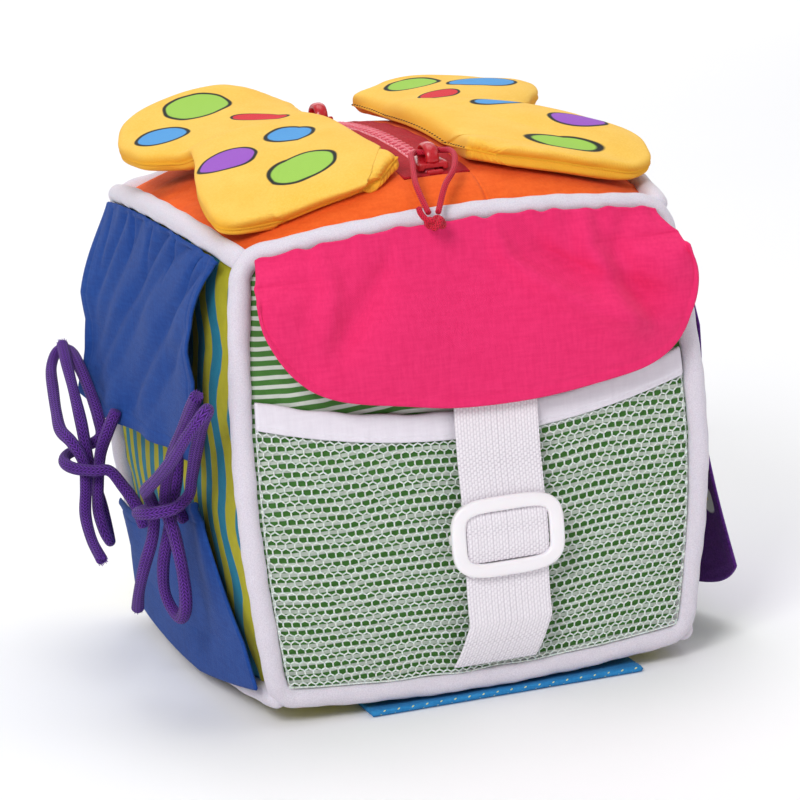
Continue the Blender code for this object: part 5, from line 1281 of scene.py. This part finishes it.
outer = rounded_outline(SLIDE_WIDTH, SLIDE_LENGTH, SLIDE_CORNER)
inner = rounded_outline(WEBBING_WIDTH + 2 * GAP, SLIDE_WINDOW_LENGTH, SLIDE_CORNER / 3)
turn = np.linspace(0, 2 * math.pi, 20, endpoint=False)
mid, half = (outer + inner) / 2, (outer - inner) / 2
flat = mid[:, None] + half[:, None] * drawn(np.cos(turn), 0.55)[None, :, None]
depth = -STRAP_FRONT - GAP - SLIDE_THICKNESS / 2 * (1 + drawn(np.sin(turn), 0.55))
places = np.broadcast_arrays(STRAP_CENTRE + flat[..., 0], depth, SLIDE_RISE + flat[..., 1])
slide = build("strap_slide_frame", np.stack(places, -1), ring_faces(len(turn), len(outer)), gloss)
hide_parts("strap_slide")
blocks = []
for name, across, back, halves, counts in (
        ("bar", 0.0, 0.0009, (0.0198, 0.0009, 0.0017), (32, 15)),
        ("leg_left", -0.0178, 0.0022, (0.0022, 0.0024, 0.0017), (24, 13)),
        ("leg_right", 0.0178, 0.0022, (0.0022, 0.0024, 0.0017), (24, 13))):
    points, faces = rounded_block((STRAP_CENTRE + across, -BAR_BACK - back, SLIDE_RISE), halves, 0.3, *counts)
    blocks.append(build("strap_slide_" + name, points, faces, gloss))
for piece in (slide, *blocks):
    settle(piece, "white_moulding", "strap_slide")


# Front flap: pink woven cotton, gathered into the seam at the piping, and free below its fold line. Its
# turned edge is sewn from the inside, so that no thread shows.
FACE_LIFT, FLAP_REST, FLAP_ROOM = 0.0016, 0.0025, 0.0015
FRONT_FLAP_DROP = 0.049
FRONT_HINGE_OUT = float(front_out(0.0, FRONT_HINGE_RISE)) + WEBBING_THICKNESS + 3 * GAP
FRONT_HINGE_OUT += FLAP_ROOM + FACE_LIFT
FRONT_FLAP_SHARES = ((-1.00, 0.10), (-0.985, 0.30), (-0.90, 0.55), (-0.78, 0.74), (-0.64, 0.84),
                     (-0.38, 0.92), (-0.10, 0.99), (0.26, 1.00), (0.58, 0.95), (0.82, 0.88), (0.96, 0.74),
                     (1.04, 0.52), (1.07, 0.28), (1.03, 0.08))


def hem_dip(u, v, width, height, inset, spread):
    """The dent of a hem's seam, at an inset from a flap's two sides and its foot."""
    near = np.minimum(np.minimum(u, 1 - u) * width, (1 - v) * height)
    return 0.0003 * hill(near - inset, spread)


pink = plain_cloth("pink_cotton", (224, 36, 100), (234, 46, 110), roughness=0.85, clouding=0.1)
u, v = unit_grid(181, 121)
split = 0.19
upper, lower = clamped(v / split), clamped((v - split) / (1 - split))
s = (2 * u - 1) * 0.93
seam = body(s, -1.0, 1.0)
top, near = seam[..., 2] - PIPING_RADIUS * 0.25, -seam[..., 1] + PIPING_RADIUS + 2 * GAP + FACE_LIFT
top_x = (2 * u - 1) * HALF_WIDTH * (0.99 + 0.035 * clamped((u - 0.8) / 0.2) ** 2)
head_x = s * (HALF_WIDTH + EDGE_BOW * 0.3)
edge = smooth_line([(x * HALF_WIDTH, 0.0, FRONT_HINGE_RISE - z * FRONT_FLAP_DROP)
                    for x, z in FRONT_FLAP_SHARES], u)
edge_out = max(STRAP_FRONT + 2 * GAP + FACE_LIFT + FLAP_ROOM, FRONT_HINGE_OUT)
x = head_x + (top_x - head_x) * upper ** 1.5
x = x + (edge[..., 0] - x) * lower
z = top + (FRONT_HINGE_RISE - top) * upper + (edge[..., 2] - FRONT_HINGE_RISE) * lower
out = near + (FRONT_HINGE_OUT - near) * upper ** 2 * (3 - 2 * upper) + (edge_out - FRONT_HINGE_OUT) * lower
ends = clamped(np.minimum(u, 1 - u) / 0.12) ** 0.7
out = out + 0.004 * np.sin(np.pi * lower) ** 1.5 * (0.5 + 0.5 * u) * ends
out = out + 0.0014 * (4 * lower * (1 - lower)) ** 1.5 * np.sin(2 * np.pi * 3.5 * u)
# The seam gathers the cloth in shallow scallops, and a few broad soft folds run down from it.
gather = np.sin(2 * np.pi * 12.5 * u + 1.6 * np.sin(u * 9)) + 0.4 * np.sin(u * 131 + 1)
z = z + 0.0004 * gather * np.exp(-v / 0.03)
out = out + 0.0004 * gather * np.exp(-v / 0.10) * np.clip(v / 0.03, 0.35, 1)
for spot_u, lean, width, height in ((0.14, 0.12, 0.034, 0.9), (0.34, -0.14, 0.038, -0.7),
                                    (0.54, 0.26, 0.036, 1.5), (0.66, 0.20, 0.034, -0.8),
                                    (0.80, -0.10, 0.036, 1.4), (0.92, -0.22, 0.034, -0.7)):
    away = u - spot_u - lean * v + 0.01 * np.sin(v * 7 + spot_u * 20)
    fold = 0.0033 * height * hill(away, width * (0.6 + v))
    out = out + fold * np.abs(np.sin(np.pi * v)) ** 0.7
out = out - hem_dip(u, v, 0.16, 0.060, 0.0028, 0.0011)
face = np.stack((x, -out, z), -1)
flap = cloth("front_flap_cloth", face, CLOTH_THICKNESS, pink, (0.155, 0.067), flip=True)
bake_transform(flap)
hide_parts("front_flap", "front_flap_heading")


# Left flaps: blue cotton, the upper one pleated into the seam below the piping and the lower one sewn at the
# bottom seam. Both have turned hems held by a row of stitches, and the ties are sewn to them.
blue = plain_cloth("blue_cotton", (22, 62, 136), (32, 76, 154), axes=(1, 2), roughness=0.85, clouding=0.1)
blue_thread = thread_finish("blue_sewing_thread", (12, 36, 92), (30, 66, 140), roughness=0.7, sheen=0.03)


def side_head(side, y):
    """The stand-off and height on a side just below the upper piping, outside the panel."""
    z = body(float(side), y / (HALF_DEPTH + EDGE_BOW), 1.0)[..., 2] - PIPING_RADIUS - GAP
    return side_out(y, z) + 2 * GAP + FACE_LIFT, z


u, v = unit_grid(161, 141)
top_y, foot_y = -0.90 + 1.80 * u, -0.68 + 1.66 * u
y = HALF_DEPTH * (top_y + (foot_y - top_y) * v ** (0.5 + np.minimum(0.5, u)))
head_out, head_z = side_head(-1, y)
corner = np.maximum(0, 1 - (1 - u) / 0.25)
z = head_z + (CENTRE_HEIGHT - 0.0006 + 0.004 * (1 - u) ** 2 + 0.005 * corner ** 2 - head_z) * v
rest = side_out(0.0, z) + FLAP_REST + FACE_LIFT
out = head_out + (rest - head_out) * clamped(v / 0.45)
out = out + 0.008 * u ** 2 * v ** 1.5 + 0.0016 * np.sin(2 * np.pi * 3 * u) * v * (1 - v / 2)
out = out + 0.0035 * (2 * u - 1) ** 2 * np.sin(np.pi * clamped(v / 0.6))
pleat = 0.0
for spot_u, lean, reach, width, deep in ((-0.30, 0.80, 1.6, 0.045, 1.0), (-0.06, 0.72, 1.5, 0.040, 1.2),
                                         (0.16, 0.75, 1.6, 0.045, 0.8), (0.34, 0.62, 1.1, 0.036, 1.2),
                                         (0.56, 0.50, 1.3, 0.045, 0.9), (0.74, 0.30, 0.8, 0.030, 0.9),
                                         (0.08, 0.30, 0.30, 0.012, 0.6), (0.25, 0.30, 0.26, 0.012, 0.6),
                                         (0.45, 0.25, 0.30, 0.012, 0.6), (0.66, 0.20, 0.26, 0.012, 0.6),
                                         (0.88, 0.10, 0.35, 0.016, 0.6)):
    away = u - spot_u - lean * v ** 0.85 + 0.014 * np.sin(v * 6 + spot_u * 20)
    fold = deep * hill(away, width * (1 + 0.4 * v))
    pleat = pleat + fold * clamped(1 - v / reach) ** 0.7
pleat = pleat * np.clip(v / 0.02, 0.3, 1) * np.clip((1 - v) / 0.10, 0.35, 1) * np.clip(u / 0.09, 0.25, 1)
out = out - 0.0026 * pleat
z = z + 0.0005 * np.exp(-v / 0.03)
ruffle = np.sin(u * 75 + 2 * np.sin(u * 13))
out = out + 0.0003 * ruffle * np.exp(-v / 0.05) + 0.0003 * np.sin(u * 23 + v * 11) * v
z = z + 0.0002 * ruffle * np.exp(-v / 0.02)
out = out - hem_dip(u, v, 0.145, 0.078, 0.0042, 0.0007)
face = np.stack((-out, y, z), -1)
upper_flap = cloth("side_upper_flap_cloth", face, CLOTH_THICKNESS, blue, (0.145, 0.078), flip=True)
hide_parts("side_upper_flap")
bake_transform(upper_flap)
hem = np.vstack((face[20:-6, 4], face[-6, 5:-4], face[-6:20:-1, -5]))
hem_thread = stitches("side_upper_flap_stitches", hem, (-1, 0, 0), blue_thread, 0.0018, 0.0026, 0.0004)
settle(hem_thread, "blue_cloth", "side_upper_flap")

LOWER_FLAP_HEIGHTS = (0.41, 0.37, 0.305, 0.255, 0.24)
y = HALF_DEPTH * (-0.98 + 1.97 * u) + HALF_DEPTH * 0.42 * np.maximum(0, 1 - u / 0.45) ** 2 * v
along_hem = clamped((y / HALF_DEPTH + 0.55) / 1.55) * (len(LOWER_FLAP_HEIGHTS) - 1)
hem_share = np.interp(along_hem, range(len(LOWER_FLAP_HEIGHTS)), LOWER_FLAP_HEIGHTS)
hem_rise = CORNER_RISE + 2 * HALF_HEIGHT * hem_share
seam = body(-1.0, y / (HALF_DEPTH + EDGE_BOW), -1.0, lowest=0.0)
foot_out, foot_z = -seam[..., 0] + PIPING_RADIUS + GAP + FACE_LIFT, seam[..., 2] - PIPING_RADIUS / 2
foot_z = foot_z + (1.5 * PIPING_RADIUS + 0.001) * np.maximum(0, 1 - u / 0.4)
z = foot_z + (hem_rise - foot_z) * v
rest = side_out(y, z) + 2 * GAP + FACE_LIFT + 0.001 * v
out = foot_out + (np.maximum(rest, foot_out) - foot_out) * clamped(v / 0.3)
out = out + 0.0016 * (1 + np.sin(2 * np.pi * 2.5 * u)) / 2 * np.sin(np.pi / 2 * v)
out = out + 0.0003 * np.sin(u * 31 + v * 7) * v - 0.00035 * hill(v - 0.90, 0.015)
out = out + 0.0005 * hill(v - 0.97, 0.02)
face = np.stack((-out, y, z), -1)
lower_flap = cloth("side_lower_flap_cloth", face, 0.0013, blue, (0.16, 0.06), hem=0.6)
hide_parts("side_lower_flap")
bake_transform(lower_flap)
hem = face[-12, 3:-3]
hem_thread = stitches("side_lower_flap_stitches", hem, (-1, 0, 0), blue_thread, 0.0018, 0.0026, 0.0004)
settle(hem_thread, "blue_cloth", "side_lower_flap")


# Right flap: purple cotton with a loose print of small pale spots, gathered into the upper seam and
# standing out at its foot.
violet = Finish("violet_printed_cotton", roughness=0.85, sheen=0.04)
_, y, z, spot = violet.place()
shade = violet.between(violet.noise(spot, 1300.0, detail=2.0), 0.3, 0.7)
ground = violet.mix(shade, dye(72, 22, 110), dye(98, 40, 138))
cell = violet.node("ShaderNodeTexVoronoi", feature="F1")
flat_spot = violet.node("ShaderNodeMapping")
violet.feed(flat_spot.inputs[0], spot)
flat_spot.inputs["Scale"].default_value = (0.0, 1.0, 1.0)
violet.feed(cell.inputs["Vector"], flat_spot.outputs[0])
cell.inputs["Scale"].default_value = 46.0
cell.inputs["Randomness"].default_value = 0.6
dot = violet.between(cell.outputs["Distance"], 0.24, 0.29, 1.0, 0.0)
heart = violet.between(cell.outputs["Distance"], 0.07, 0.10, 1.0, 0.0)
shade = violet.mix(dot, ground, dye(226, 218, 234))
violet.colour(violet.mix(heart, shade, dye(236, 196, 70)))
violet.bump(violet.weave(y, z, 0.0004), 0.00014, 0.6)
u, v = unit_grid(121, 121)
y = HALF_DEPTH * (-0.84 + 1.68 * u + (0.12 - 0.26 * u) * v ** 2)
head_out, head_z = side_head(1, y)
z = head_z + (0.011 + 0.16 * HALF_HEIGHT * np.abs(2 * u - 1) ** 4 - head_z) * v
rest = side_out(0.0, z) + FLAP_REST + FACE_LIFT
out = head_out + (rest - head_out) * clamped(v * 3) + 0.019 * v ** 3
out = out + 0.0016 * np.sin(2 * np.pi * 2.5 * u) * v
out = out + 0.0035 * np.sin(np.pi * clamped(v / 0.55)) ** 0.7
ruffle = np.sin(u * 80 + 2 * np.sin(u * 11))
out = out + 0.0005 * ruffle * np.exp(-v / 0.06) + 0.0003 * np.sin(u * 29 + v * 8) * v
out = out - hem_dip(u, v, 0.14, 0.15, 0.0045, 0.0008)
face = np.stack((out, y, z), -1)
right_flap = cloth("right_flap_cloth", face, CLOTH_THICKNESS, violet, (0.14, 0.15))
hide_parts("right_flap")
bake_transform(right_flap)


# Bottom flap: two layers of sky blue cotton under the cube, overcast along its free edges with slanting
# pale yellow stitches, and sewn to the bottom at its rear edge.
sky = plain_cloth("sky_blue_cotton", (30, 116, 176), (50, 138, 196), axes=(0, 1))
FOOT_LEFT, FOOT_RIGHT, FOOT_FRONT, FOOT_REAR = -0.044, 0.056, -0.090, 0.056
x, y = np.meshgrid(np.linspace(FOOT_LEFT, FOOT_RIGHT, 81), np.linspace(FOOT_FRONT, FOOT_REAR, 111))
face = np.stack((x, y, 0.002 - 0.0001 * np.abs(np.sin(x * 150) * np.sin(y * 120))), -1)
bottom_flap = cloth("bottom_flap_cloth", face, 0.0019, sky, (0.1, 0.146), hem=0.3)
yellow_thread = thread_finish("pale_yellow_thread", (206, 204, 120), (236, 232, 164))
front_edge = np.linspace((FOOT_LEFT + 0.001, FOOT_FRONT - 0.0002, 0.0011),
                         (FOOT_RIGHT - 0.001, FOOT_FRONT - 0.0002, 0.0011), 60)
overcast = stitches("bottom_flap_stitches", front_edge, (0, -1, 0), yellow_thread, 0.0026, 0.0052, 0.0006,
                    lean=0.6)
for piece in (bottom_flap, overcast):
    settle(piece, "sky_cloth", "bottom_flap")
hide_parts("bottom_flap")
